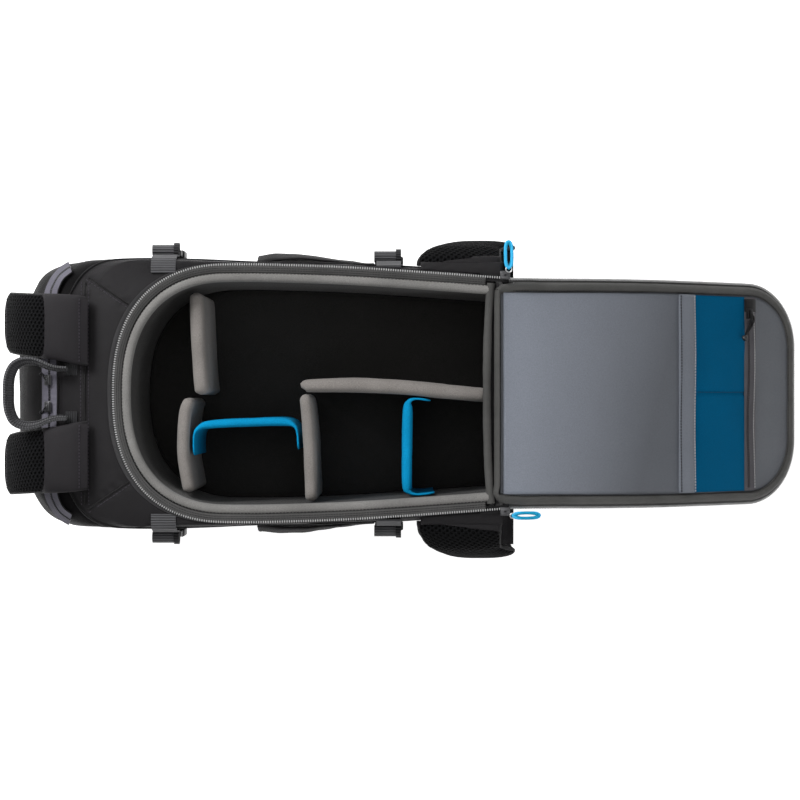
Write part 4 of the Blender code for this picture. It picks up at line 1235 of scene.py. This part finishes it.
def make_lid_outside():
    def cover(u, v, s):
        return -12.2 - 0.8 * (1 - abs(s) ** 6) + 0.5 * wrinkle((u, v, 0), 40, 1.0)

    skin("lid_cover_panel", lid_rows(36, 381, 5.2, cover, 70), LOOKS["shell"], "lid",
         ("lid_cover",),
         thickness=3.4, sharp=70, core=lid_point(190, 0, 900))
    pads = {"lumbar_pad": (48, 123, -93, 93), "back_pad_left": (135, 359, 10, 89),
            "back_pad_right": (135, 359, -89, -10)}
    for name, (u0, u1, v0, v1) in pads.items():
        made = cushion(name + "_foam", (u0, v0, -25.5), (u1, v1, -13.6), LOOKS["mesh"], "lid",
                       (name,),
                       crown=1.4, rounding=5.8, cell=4, place=lid_point, lumps=1.2)
        loop = []
        for k in range(49):
            turn = 2 * math.pi * k / 48
            c, s = math.cos(turn), math.sin(turn)
            u = (u0 + u1) / 2 + (u1 - u0) / 2 * math.copysign(abs(c) ** 0.35, c)
            v = (v0 + v1) / 2 + (v1 - v0) / 2 * math.copysign(abs(s) ** 0.35, s)
            loop.append(lid_point(u, v, -14.4))
        tube(name + "_piping", loop, 1.5, LOOKS["piping"], "lid", closed=True, step=4)


def make_lid_slider():
    u, v = 323.0, 84.0
    low = -0.4
    parts = [((u - 3.8, v - 5.6, low + 0.6), (u + 3.8, v + 5.6, low + 1.6)),
             ((u - 3.4, v - 5, low + 2.0), (u + 3.4, v + 4.6, low + 3.4)),
             ((u - 1.2, v - 3.2, low + 1.2), (u + 1.2, v - 0.5, low + 4.6)),
             ((u - 1.2, v + 1.2, low + 1.2), (u + 1.2, v + 3.6, low + 4.6)),
             ((u - 1.2, v - 3.2, low + 4.0), (u + 1.2, v + 3.6, low + 5.0))]
    blocks("lid_zip_slider_body", parts, LOOKS["black_metal"], "lid_slider",
           ("lid_zip_slider",),
           0.6, lid_point)
    height = low + 6.2
    strand = [(u, v - 1, height - 1.2), (u - 1.2, v - 5, height), (u - 4.2, v - 13, height),
              (u - 7, v - 18, height - 0.4),
              (u - 9, v - 24, height - 0.8)]
    tube("lid_pull_cord", [lid_point(p) for p in strand], 1.25, LOOKS["black_cord"], "lid_pull",
         ("lid_zip_pull",), step=1.5)
    second = [(u + 0.8, v - 1, height - 1.0), (u + 1.5, v - 6, height + 0.3),
              (u - 1.5, v - 13, height + 0.4),
              (u - 6.6, v - 19, height)]
    tube("lid_pull_cord_return", [lid_point(p) for p in second], 1.15, LOOKS["black_cord"], "lid_pull",
         step=1.5)
    knob("lid_pull_knob", lid_point(u - 9.6, v - 25.5, height - 0.8), 3.1, LOOKS["buckle"], "lid_pull")
    knob("lid_pull_knot", lid_point(u - 2.0, v - 8.0, height + 0.4), 2.3, LOOKS["black_cord"], "lid_pull")


def knob(name, centre, radius, look, body):
    """A small moulded end or knot: a squashed, ridged ball."""
    rows = []
    for i in range(1, 12):
        polar = math.pi * i / 12
        row = []
        for k in range(16):
            turn = 2 * math.pi * k / 16
            ridge = 1 + 0.09 * math.sin(3 * turn + 4 * polar)
            row.append(centre + Vector((math.sin(polar) * math.cos(turn), math.sin(polar) * math.sin(turn),
                                        0.85 * math.cos(polar))) * radius * ridge)
        rows.append(row)
    return skin(name, rows, look, body, ring=True, caps=True, sharp=80)


# ---- straps, handle and hip belt --------------------------------------------------------------
STRAP_PATH = [
    (-167, 211.2, 4.6, 60, 67), (-180, 212.3, 7, 62, 67), (-198, 210.3, 10, 64.5, 64),
    (-218, 202.5, 12.5, 66, 63), (-236, 187.5, 13, 68, 62), (-248.5, 166, 13, 70, 61),
    (-254.2, 140, 13, 71, 61),
    (-254.8, 112, 13, 71.5, 60), (-251, 84, 13, 72, 60), (-240.5, 59, 13, 72, 60), (-222, 38, 13, 72, 58),
    (-197, 23.5, 13, 72, 56), (-172, 13.5, 12, 72, 52), (-154, 9, 9, 72, 44),
]
HIP_PATH = [
    (124.5, 199.5, 6, 152, 235), (133, 197.5, 9, 153, 235), (143.5, 188.5, 12, 160, 235),
    (148, 179, 13, 166, 236),
    (151.5, 167, 14, 174, 250), (154, 150, 14, 181, 251), (153, 125, 14, 185, 250), (149, 100, 13, 188, 248),
    (143.5, 75, 12, 190, 244), (138, 52, 10, 192, 236), (135, 36, 7, 193, 232),
]
HANDLE_PATH = [
    (-187, 23.6), (-197, 24), (-206, 26.5), (-217, 31), (-229, 32), (-238.5, 27.5), (-243.5, 18), (-245, 8),
    (-245, 0),
]
TOP_ZIP = [(-187, 123), (-196, 117), (-202, 108.5), (-206, 95), (-207, 60), (-206, 0)]
HIP_BULGE = {"left": 0.72, "right": 1.12}
BUCKLES = {"upper": -94.0, "lower": 125.0}
POCKET_CURVE = [(-5, 140), (15, 142), (40, 141), (70, 136.5), (100, 132.5), (110, 131.8)]


class Along:
    """Values of a table's rows at any share of the way along its points."""

    def __init__(self, points, rows):
        marks = np.cumsum([0] + [(Vector(b) - Vector(a)).length for a, b in zip(points, points[1:])])
        self.shares, self.rows = marks / marks[-1], rows

    def at(self, share, column):
        return float(np.interp(share, self.shares, [row[column] for row in self.rows]))


def pad_loop(half_width, half_thick, middle=0.0, edge=0.34, power=3.2, steps=15):
    """The section of a flat pad: thick in the middle, thin at its bound edges."""
    loop = []
    for face in (1, -1):
        for k in range(steps):
            s = math.sin(math.pi / 2 * (2 * k / (steps - 1) - 1)) * face
            thick = half_thick * (edge + (1 - edge) * (1 - abs(s) ** power)) * (1 - 0.5 * abs(s) ** 30)
            loop.append((face * thick, middle + s * half_width))
    return loop


def edge_tube(name, path, offsets, radius, look, body, gathers=0.0):
    """A rolled binding along one edge of a pad."""
    spots = [p + q for p, q in zip(path, offsets)]

    def section(i, share):
        swell = 1 + gathers * math.sin(i * 1.9) + gathers * noise.noise(Vector((i * 0.6, 2, 1)))
        return [(radius * swell * math.cos(2 * math.pi * k / 10),
                 radius * swell * math.sin(2 * math.pi * k / 10))
                for k in range(10)]

    return sweep(name, spots, section, Vector((0.02, 1, 0.03)) if abs(spots[0].y - spots[-1].y) < 20 else
                 Vector((1, 0.02, 0.03)), look, body, sharp=75)


def make_shoulder_straps():
    for side, sign in (("left", 1), ("right", -1)):
        body = f"shoulder_strap_{side}"
        knots = [(x, 0, z) for x, z, *_ in STRAP_PATH]
        table = Along(knots, STRAP_PATH)
        path = resample(knots, 4)
        total = len(path) - 1

        def middle(i):
            return sign * table.at(i / total, 3)

        def section(i, share):
            thick, width = table.at(share, 2), table.at(share, 4)
            lump = 1 + 0.05 * noise.noise(path[i] / 30)
            return pad_loop(width / 2 - 1.2, thick / 2 * min(1.0, lump), middle(i))

        made = sweep(f"shoulder_strap_{side}_pad", path, section, Vector((0, 1, 0)), LOOKS["mesh"], body,
                     (f"shoulder_pad_{side}",), sharp=75)
        for number, edge in enumerate((-1, 1)):
            offsets = [Vector((0, middle(i) + edge * (table.at(i / total, 4) / 2 - 1.9),
                               0)) for i in range(total + 1)]
            edge_tube(f"shoulder_strap_{side}_edge_{number}", path, offsets, 1.8, LOOKS["piping"], body)
        sleeve = [p for p in path if p.x > -212][: total // 3]
        last = len(sleeve) - 1

        def cover(i, share):
            thick, width = table.at(i / total, 2), table.at(i / total, 4)
            return pad_loop(width / 2 + 0.1, thick / 2 + 0.25, middle(i), edge=0.55)

        sweep(f"shoulder_strap_{side}_sleeve", sleeve, cover, Vector((0, 1, 0)), LOOKS["strap_cloth"], body,
              sharp=75)
        frames = frames_along(path, Vector((0, 1, 0)))
        for number, i in enumerate((2, last - 1)):
            spot, _, inward, _ = frames[i]
            half, thick = table.at(i / total, 4) / 2 - 4, table.at(i / total, 2) / 2 + 0.3
            line = [spot - inward * thick + Vector((0, middle(i) + half * t, 0)) for t in (-1, -0.5, 0, 0.5,
                                                                                           1)]
            beads(f"shoulder_strap_{side}_stitches_{number}", line, -inward, 3.2, (2.2, 0.8, 0.45),
                  LOOKS["shell_thread"], body)
        y0, y1 = sorted((sign * 60.4, sign * 83.6))
        web = [(-160, (y0 + y1) / 2, 7.5), (-150, (y0 + y1) / 2, 8.8), (-140, (y0 + y1) / 2, 9.5)]
        sweep(f"strap_tail_{side}", resample(web, 2), flat_loop(22, 1.6, -0.8), Z_UP, LOOKS["webbing"], body)
        parts = [((-152, y0, 2.2), (-147, y1, 10.5)), ((-152, y0, 2.2), (-134, y0 + 3, 8.5)),
                 ((-152, y1 - 3, 2.2), (-134, y1, 8.5)), ((-141, y0, 3.5), (-137, y1, 9.5))]
        blocks(f"strap_ladder_{side}", parts, LOOKS["buckle"], body, (f"strap_adjuster_{side}",),
               1.0)
        webbing_roll(f"strap_roll_{side}", (-127, (y0 + y1) / 2, 6.6), 5.2, 21.5, "webbing", body,
                     axis=1)


def webbing_roll(name, centre, radius, width, look, body, axis=0, replaces=()):
    """Webbing rolled up on itself, with its loose end showing. The roll lies along x (0) or y (1)."""
    centre = Vector(centre)
    turns, count = 2.6, 64
    spiral = []
    for k in range(count + 1):
        t = k / count
        r = 1.4 + (radius - 2.2) * t
        turn = 2 * math.pi * turns * t + 0.6
        a, b = r * math.cos(turn), r * math.sin(turn)
        spiral.append(centre + (Vector((0, a, b)) if axis == 0 else Vector((a, 0, b))))
    up = Vector((1, 0, 0)) if axis == 0 else Vector((0, 1, 0))
    loop = [(0.72 * math.cos(2 * math.pi * k / 8), (width / 2) * (1 if 0 <= k <= 4 else -1) + 0.4 *
             math.sin(2 * math.pi * k / 8)) for k in range(8)]
    loop = [(0.72, -width / 2), (0.72, width / 2), (-0.72, width / 2), (-0.72, -width / 2)]
    return sweep(name, spiral, loop, up, LOOKS[look], body, replaces, sharp=60)


def make_handle():
    half = [(x, y) for x, y in HANDLE_PATH]
    whole = [(x, y, 210.5) for x, y in half] + [(x, -y, 210.5) for x, y in reversed(half[:-1])]
    path = resample(whole, 2.5)
    total = len(path) - 1

    def section(i, share):
        ease = math.sin(math.pi * share) ** 0.6
        lean = 1.0 + 2.2 * ease
        thick = 1.5 + 0.4 * ease
        back = 1.6 * ease
        low, high = -6.6, 6.6 + 0.4 * math.sin(i * 0.3)
        return [(-lean - thick * 0.4 - back, low + 0.6), (-lean + thick - back, low),
                (lean + thick - back, high - 0.8),
                (lean - thick * 0.2 - back, high)]

    sweep("grab_handle_webbing", path, section, Z_UP, LOOKS["webbing"], "handle",
          ("grab_handle",))
    for number, lift in enumerate((0.22, 0.78)):
        line = []
        for i, (p, _, across, high) in enumerate(frames_along(path, Z_UP)):
            ease = math.sin(math.pi * i / total) ** 0.6
            lean, thick = 1.0 + 2.2 * ease, 1.5 + 0.4 * ease
            a = -lean - thick * 0.4 - 1.6 * ease + (2 * lean + thick * 0.2) * lift - 0.25
            line.append(p + across * a + high * (-6.0 + 12.6 * lift + 0.25))
        tube(f"grab_handle_ridge_{number}", line, 0.45, LOOKS["webbing"], "handle", step=3)
    for number, y in enumerate((-23.6, 23.6)):
        line = [drop(x, y, 0.3) for x in (-178, -182, -186, -190)]
        made = sweep(f"handle_foot_{number}", line, flat_loop(12, 1.2), Z_UP, LOOKS["dark_webbing"], None)
        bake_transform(made)


def make_hip_belt():
    for side, sign in (("left", 1), ("right", -1)):
        body = f"hip_belt_{side}"
        root = HIP_PATH[0][0]
        knots = [(0, sign * (root + (y - root) * HIP_BULGE[side]), z) for y, z, *_ in HIP_PATH]
        table = Along(knots, HIP_PATH)
        path = resample(knots, 3)
        total = len(path) - 1
        up = Vector((1, 0, 0))

        def section(i, share):
            thick, low, high = (table.at(share, k) for k in (2, 3, 4))
            middle, half = (low + high) / 2, (high - low) / 2
            lump = min(1.0, 1 + 0.07 * noise.noise(Vector((share * 9, sign * 3, 0))))
            return pad_loop(half - 1.0, thick / 2 * lump, middle, edge=0.42)

        made = sweep(f"hip_wing_{side}_pad", path, section, up, LOOKS["mesh"], body,
                     (f"hip_wing_{side}",), sharp=75)
        for number, column in enumerate((3, 4)):
            inward = 1.9 if column == 3 else -1.9
            offsets = [Vector((table.at(i / total, column) + inward, 0, 0)) for i in range(total + 1)]
            edge_tube(f"hip_wing_{side}_edge_{number}", path, offsets, 1.9, LOOKS["piping"], body,
                      gathers=0.12)
        rows = []
        for j in range(25):
            t = j / 24
            reach = 0.002 + 0.05 * t
            row = []
            for k in range(9):
                share = reach * k / 8
                here = min(total - 1, int(share * total))
                spot = path[here].lerp(path[here + 1], share * total - here)
                ahead = (path[here + 1] - path[here]).normalized()
                out = Vector((0, -ahead.z, ahead.y)) * (1 if sign > 0 else -1)
                low, high = table.at(share, 3) + 1.2, table.at(share, 4) - 1.2
                s = 2 * t - 1
                thick = table.at(share, 2) / 2 * (0.42 + 0.58 * (1 - abs(s) ** 3.2))
                row.append(spot + out * (thick + 0.35) + Vector((low + (high - low) * t, 0, 0)))
            rows.append(row)
        skin(f"hip_wing_{side}_gusset", rows, LOOKS["shell"], body, thickness=0.6,
             core=(190, 0, 0), sharp=70)
        rows = []
        for j in range(25):
            x = 156 + 80 * j / 24
            near = min(smooth_table(OPENING_HALF_WIDTH, x) + 1.5, 121.0)
            far = root + 3.5
            rows.append([Vector((x, sign * (near + (far - near) * k / 8),
                                 205.3 - 2.6 * (k / 8) ** 2 + 0.5 * noise.noise(Vector((x / 9, k / 3, 0)))))
                         for k in range(9)])
        made = skin(f"hip_wing_{side}_root", rows, LOOKS["shell"], None, thickness=0.9,
                    core=(190, 0, 0), sharp=70)
        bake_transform(made)
        rows = []
        for j in range(17):
            x = 196 + 53 * j / 16
            near = body_half_width(x, 176 - 10 * j / 16) - 2.0
            share = 0.17 + 0.05 * j / 16
            here = int(share * total)
            far = abs(path[here].y) - 3.0
            rows.append([Vector((x - 0.8 * k / 10, sign * (near + (far - near) * k / 10),
                                 path[here].z - 8 + (4 - 14 * k / 10 * (1 - k / 10))
                                 + 0.8 * noise.noise(Vector((x / 8, k / 3, sign))))) for k in range(11)])
        made = skin(f"hip_wing_{side}_web", rows, LOOKS["shell"], None, thickness=0.8,
                    core=(190, 0, 0),
                    sharp=70)
        near, far = body_half_width(215, 170) + 1, abs(path[int(0.19 * total)].y) - 4
        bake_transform(made)
        y, z = sign * 133.0, 14.0
        webbing_roll(f"hip_belt_roll_{side}", (212, y, z - 3.5), 6.6, 33, "webbing", body, 0,
                     (f"hip_belt_end_{side}",))
        web = [(212, sign * 134.6, 34), (212, sign * 134.2, 26), (212, sign * 133.6, 17)]
        sweep(f"hip_belt_web_{side}", resample(web, 2), [(-0.8, -17), (0.8, -17), (0.8, 17), (-0.8, 17)], up,
              LOOKS["webbing"], body)


# ---- compression straps and side pockets ------------------------------------------------------
def make_buckles():
    for where, x in BUCKLES.items():
        for side, sign in (("left", 1), ("right", -1)):
            tag = f"{where}_{side}"
            face = max(body_half_width(x + dx, 134) for dx in (-12, 0, 12)) + 0.5

            def place(p, sign=sign, face=face, x=x):
                return Vector((x + p[0], sign * (face + p[1]), p[2]))

            parts = [((-14.2, 1.2, 121), (-10.4, 8.4, 145.6)), ((10.4, 1.2, 121), (14.2, 8.4, 145.6)),
                     ((-13.4, 0.9, 130), (13.4, 8.8, 145.8)), ((-14.2, 1.0, 120.2), (14.2, 7.4, 123.6)),
                     ((-11, 2.8, 126), (11, 6.4, 128.6))]
            blocks(f"socket_{tag}_shell", parts, LOOKS["buckle"], "bag",
                   (f"socket_{tag}",),
                   1.2,
                   place)
            flat = [(-0.7, -11.5), (0.7, -11.5), (0.7, 11.5), (-0.7, 11.5)]
            web = [place((0, 1.1, z)) for z in (92, 104, 114, 121)]
            sweep(f"socket_{tag}_web", resample(web, 3), flat, Vector((1, 0, 0)), LOOKS["webbing"], "bag")
            body = f"plug_{tag}_body"
            parts = [((-12.6, 1.6, 146.7), (12.6, 8.2, 152.5)), ((-12.6, 2.0, 152), (-9.8, 7.6, 164.6)),
                     ((9.8, 2.0, 152), (12.6, 7.6, 164.6)), ((-12.6, 2.0, 161.6), (12.6, 7.2, 164.8)),
                     ((-11.5, 3.0, 156.0), (11.5, 6.6, 158.6))]
            blocks(f"plug_{tag}_frame", parts, LOOKS["buckle"], body, (f"plug_{tag}",), 0.9,
                   place)
            webbing_roll(f"plug_{tag}_roll", place((-1.5, 7.0, 172.4)), 6.3, 26, "webbing", body)
            ring = []
            for k in range(25):
                turn = 2 * math.pi * k / 24
                ring.append(place((9.5, 7 + 6.5 * math.cos(turn), 172.4 + 6.2 * math.sin(turn))))
            sweep(f"plug_{tag}_keeper", ring, [(-0.7, -2.6), (0.7, -2.6), (0.7, 2.6), (-0.7, 2.6)],
                  Vector((1, 0, 0)),
                  LOOKS["dark_webbing"], body)
            rim = opening_half_width(x, -0.4)
            shoulder = body_half_width(x, 203.5)
            line = [drop(x, sign * (rim + 5.5), 0.7), drop(x, sign * (rim * 0.4 + shoulder * 0.6), 0.9)]
            line += [(x, sign * (shoulder + 0.3), 204.6), (x, sign * (shoulder + 2.0), 199),
                     (x, sign * (face + 0.4), 190), (x, sign * (face + 0.9), 178),
                     (x, sign * (face + 2.4), 167),
                     (x, sign * (face + 4.2), 158)]
            spots = resample(line, 2)
            flat = [(-0.8, -12), (0.8, -12), (0.8, 12), (-0.8, 12)]
            made = sweep(f"plug_{tag}_strap", spots, flat, Vector((1, 0, 0)), LOOKS["webbing"], None)
            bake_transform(made)


# ---- side pockets -----------------------------------------------------------------------------
def make_side_pockets():
    curve = resample([(x, y, 0) for x, y in POCKET_CURVE], 3)
    heights = [30.2 + 134.6 * k / 34 for k in range(35)]
    for side, sign in (("left", 1), ("right", -1)):
        rows = []
        for z in heights:
            t = (z - 30) / 135
            close = (2 * abs(t - 0.5)) ** 6
            row = []
            for i, p in enumerate(curve):
                share = i / (len(curve) - 1)
                y = p.y - 7.5 * close * (1 - share) - 2.2 * abs(2 * t - 1) ** 3
                sag = 0.9 * noise.noise(Vector((p.x / 18, z / 30, sign * 4))) - 0.5
                row.append(Vector((p.x, sign * (y + min(0, sag)), z)))
            rows.append(row)
        skin(f"side_pocket_{side}_knit", rows, LOOKS["stretch"], "bag",
             (f"side_pocket_{side}",),
             thickness=1.4, core=(60, 0, 98))
        mouth = [Vector((-4.0, row[0].y - sign * 1.0, row[0].z)) for row in rows[1:-1]]

        def section(i, share):
            swell = 1 + 0.12 * math.sin(i * 2.4)
            return [(2.0 * swell * math.cos(2 * math.pi * k / 10),
                     1.3 * swell * math.sin(2 * math.pi * k / 10))
                    for k in range(10)]

        sweep(f"side_pocket_{side}_elastic", mouth, section, Vector((0, sign, 0)), LOOKS["piping"], "bag",
              sharp=75)


# ---- zips and sliders -------------------------------------------------------------------------
def make_top_zip():
    line = [(x, y, 0) for x, y in TOP_ZIP] + [(x, -y, 0) for x, y in reversed(TOP_ZIP[:-1])]
    flat = resample(line, 3)
    middle, ups = [], []
    for p in flat:
        spot, up = top_point(p.x, p.y, 1.3)
        middle.append(spot)
        ups.append(up)
    for number, (a, b) in enumerate(((-8.6, -1.4), (1.4, 8.6))):
        sweep(f"top_zip_tape_{number}", middle, [(a, 0), (b, 0), (b, 0.9), (a, 0.9)], ups,
              LOOKS["light_tape"], "bag",
              ("top_zip_tape",) if number == 0 else ())
        edge = [p + across * (a - 0.2 if number == 0 else b + 0.2) + up * 0.1
                for p, _, across, up in frames_along(middle, ups)]
        tube(f"top_zip_fold_{number}", edge, 0.7, LOOKS["piping"], "bag", step=3)
    sweep("top_zip_bed", middle, [(-2.2, -0.5), (2.2, -0.5), (2.2, 0.3), (-2.2, 0.3)], ups, LOOKS["piping"],
          "bag")
    fine = []
    fine_ups = []
    for p in resample(line, 1.7):
        spot, up = top_point(p.x, p.y, 1.5)
        fine.append(spot)
        fine_ups.append(up)
    beads("top_zip_coil", fine, fine_ups, 1.7, (3.2, 1.1, 1.0), LOOKS["dark_teeth"], "bag",
          turned=True)
    for side, sign in (("left", 1), ("right", -1)):
        body = f"top_slider_{side}_body"
        base, up = top_point(-206, sign * 13, 3.7)
        along = Vector((0, sign, 0))
        out = along.cross(up) * sign
        out = out.normalized()

        def place(p, base=base, up=up, along=along, out=out):
            return base + along * p[0] + out * p[1] + up * p[2]

        parts = [((-5.2, -3.4, 0), (5.2, 3.4, 1.2)), ((-4.8, -3.0, 2.0), (4.2, 3.0, 3.2)),
                 ((-2, -1, 1), (2, 1, 4.0))]
        blocks(f"top_slider_{side}_metal", parts, LOOKS["zinc"], body, (f"top_slider_{side}",),
               0.5, place)
        cord = [place(p) for p in ((0, 0, 3.2), (1.5, -2.5, 3.0), (3.6, -5.0, 0.8), (5.4, -7.5, -0.9),
                                   (6.2, -11, -1.4))]
        tube(f"top_slider_{side}_cord", cord, 1.1, LOOKS["black_cord"], body, step=1.5)
        knob(f"top_slider_{side}_knot", place((5.8, -9.4, -1.0)), 1.8, LOOKS["black_cord"], body)


def loop_cord(name, start, along, reach, half_width, fall, look, body, radius=1.5):
    """A closed pull of cord: out from the slider, round its end and back."""
    across = Vector((-along.y, along.x, 0))
    spots = []
    for k in range(25):
        t = k / 24
        turn = 2 * math.pi * t
        out = reach * (1 - math.cos(turn)) / 2
        side = math.sin(turn) * half_width * (1.0 if out > reach * 0.3 else 0.55 + 1.5 * out / reach)
        spots.append(start + along * out + across * side - Z_UP * fall * (out / reach) ** 1.5)
    return tube(name, spots, radius, look, body, closed=True, step=1.5)


def make_main_sliders():
    for side, sign in (("left", 1), ("right", -1)):
        body = f"main_slider_{side}_body"
        x, y, low = 238.0, sign * 114.6, 209.7
        parts = [((x - 4.9, y - 4.2, low + 0.5), (x + 4.9, y + 4.2, low + 1.5)),
                 ((x - 4.6, y - 3.7, low + 2.2), (x + 4.4, y + 3.7, low + 3.4)),
                 ((x - 1.6, y - 1.2, low + 1), (x + 1.6, y + 1.2, low + 5.0)),
                 ((x - 3.4, y - 1.0, low + 4.0), (x + 3.4, y + 1.0, low + 5.0))]
        blocks(f"main_slider_{side}_metal", parts, LOOKS["zinc"], body,
               (f"main_slider_{side}",),
               0.5)
    steel_ring("main_pull_left_ring", (241.5, 120.2, 213.2), 2.9, 0.6, "main_pull_left_body")
    loop_cord("main_pull_left_loop", Vector((241.5, 121.0, 212.8)), Vector((0, 1, 0)), 25.6, 3.3, 4.6,
              LOOKS["blue_cord"], "main_pull_left_body")
    steel_ring("main_pull_right_ring", (245.0, -118.6, 213.2), 2.4, 0.6, "main_pull_right_body")
    loop_cord("main_pull_right_loop", Vector((246.0, -118.6, 212.8)), Vector((1, 0, 0)), 24.0, 2.6, 2.4,
              LOOKS["blue_cord"], "main_pull_right_body", 1.45)


def steel_ring(name, centre, radius, wire, body):
    spots = [Vector(centre) + Vector((math.cos(k * math.pi / 8), math.sin(k * math.pi / 8), 0)) * radius
             for k in range(16)]
    tube(name, spots + [spots[0]], wire, LOOKS["steel"], body, closed=True, step=1)


def make_front_slider():
    parts = [((143.4, 120.6, 24), (156.6, 121.8, 30)), ((144, 122.6, 24.4), (155.6, 123.8, 29.6)),
             ((148, 121.2, 25.8), (152, 123.4, 28.2)), ((146.4, 123.4, 26.2), (153.6, 124.6, 27.8)),
             ((144.2, 124.3, 25.4), (147.2, 125.2, 28.6))]
    blocks("front_zip_slider_body", parts, LOOKS["zinc"], "front_slider", ("front_zip_slider",),
           0.4)
    for number, z in enumerate((25.2, 28.8)):
        line = [Vector((x, body_half_width(x, z) + 0.1, z)) for x in range(60, 205, 3)]
        tube(f"front_pocket_zip_edge_{number}", line, 0.8, LOOKS["piping"], "bag", step=4)
    coil = [Vector((x, body_half_width(x, 27) + 0.0, 27)) for x in range(60, 205, 3)]
    beads("front_pocket_coil", coil, Vector((0, 1, 0)), 1.9, (2.6, 1.2, 0.6), LOOKS["dark_teeth"], "bag",
          turned=True)


def make_stiffener():
    """The stiffener sheet keeps its plain solid, with a moulded finish."""
    look = moulded("stiffener_sheet", (0.05, 0.05, 0.052), 0.5)
    for obj in list(bpy.data.objects):
        if obj.name == "lid_stiffener":
            obj.data.materials.clear()
            obj.data.materials.append(look)
            clear_box_uv(obj.data)


# ---- the picture ------------------------------------------------------------------------------
def make_studio():
    ground = bpy.data.meshes.new("floor")
    ground.from_pydata([(-6, -6, 0), (6, -6, 0), (6, 6, 0), (-6, 6, 0)], [], [(0, 1, 2, 3)])
    floor = bpy.data.objects.new("floor", ground)
    bpy.context.scene.collection.objects.link(floor)
    paint = Look("floor_paint", 0.9)
    paint.colour(paint.ramp(paint.noise(3, 2), [(0.3, (0.9, 0.9, 0.9)), (0.7, (0.92, 0.92, 0.92))]))
    paint.specular(0.0)
    paint.shader.inputs["Emission Color"].default_value = (1, 1, 1, 1)
    paint.shader.inputs["Emission Strength"].default_value = 0.72
    ground.materials.append(paint.done())
    lamps = {
        "key": ((-1.1, 1.2, 1.3), 0.8, 44.0),
        "fill": ((1.4, -1.0, 1.4), 1.4, 13.0),
        "top": ((-0.1, 0.2, 3.0), 2.0, 17.0),
    }
    for name, (spot, size, power) in lamps.items():
        lamp = bpy.data.lights.new(name, "AREA")
        lamp.size = size
        lamp.energy = power
        made = bpy.data.objects.new(name, lamp)
        made.location = spot
        made.rotation_euler = (Vector((0.136, 0, 0.1)) - Vector(spot)).to_track_quat("-Z", "Y").to_euler()
        bpy.context.scene.collection.objects.link(made)
    world = bpy.data.worlds.new("studio")
    world.use_nodes = True
    back = world.node_tree.nodes["Background"]
    back.inputs["Color"].default_value = (1, 1, 1, 1)
    back.inputs["Strength"].default_value = 0.28
    bpy.context.scene.world = world
    lens = bpy.data.cameras.new("photo_camera")
    lens.sensor_width = 36
    lens.lens = 94.1
    lens.clip_end = 20
    eye = bpy.data.objects.new("photo_camera", lens)
    eye.location = (0.136, -0.0065, 2.24)
    bpy.context.scene.collection.objects.link(eye)
    bpy.context.scene.camera = eye
    bpy.context.scene.view_settings.view_transform = "Standard"


make_front_shell()
make_sides()
make_hood()
make_rear_panel()
make_rim()
make_lining()
make_dividers()
make_lid_linings()
make_lid_zip()
make_lid_edges()
make_hinge_strip()
make_lid_outside()
make_lid_slider()
make_shoulder_straps()
make_handle()
make_hip_belt()
make_buckles()
make_side_pockets()
make_top_zip()
make_main_sliders()
make_front_slider()
make_stiffener()
make_studio()
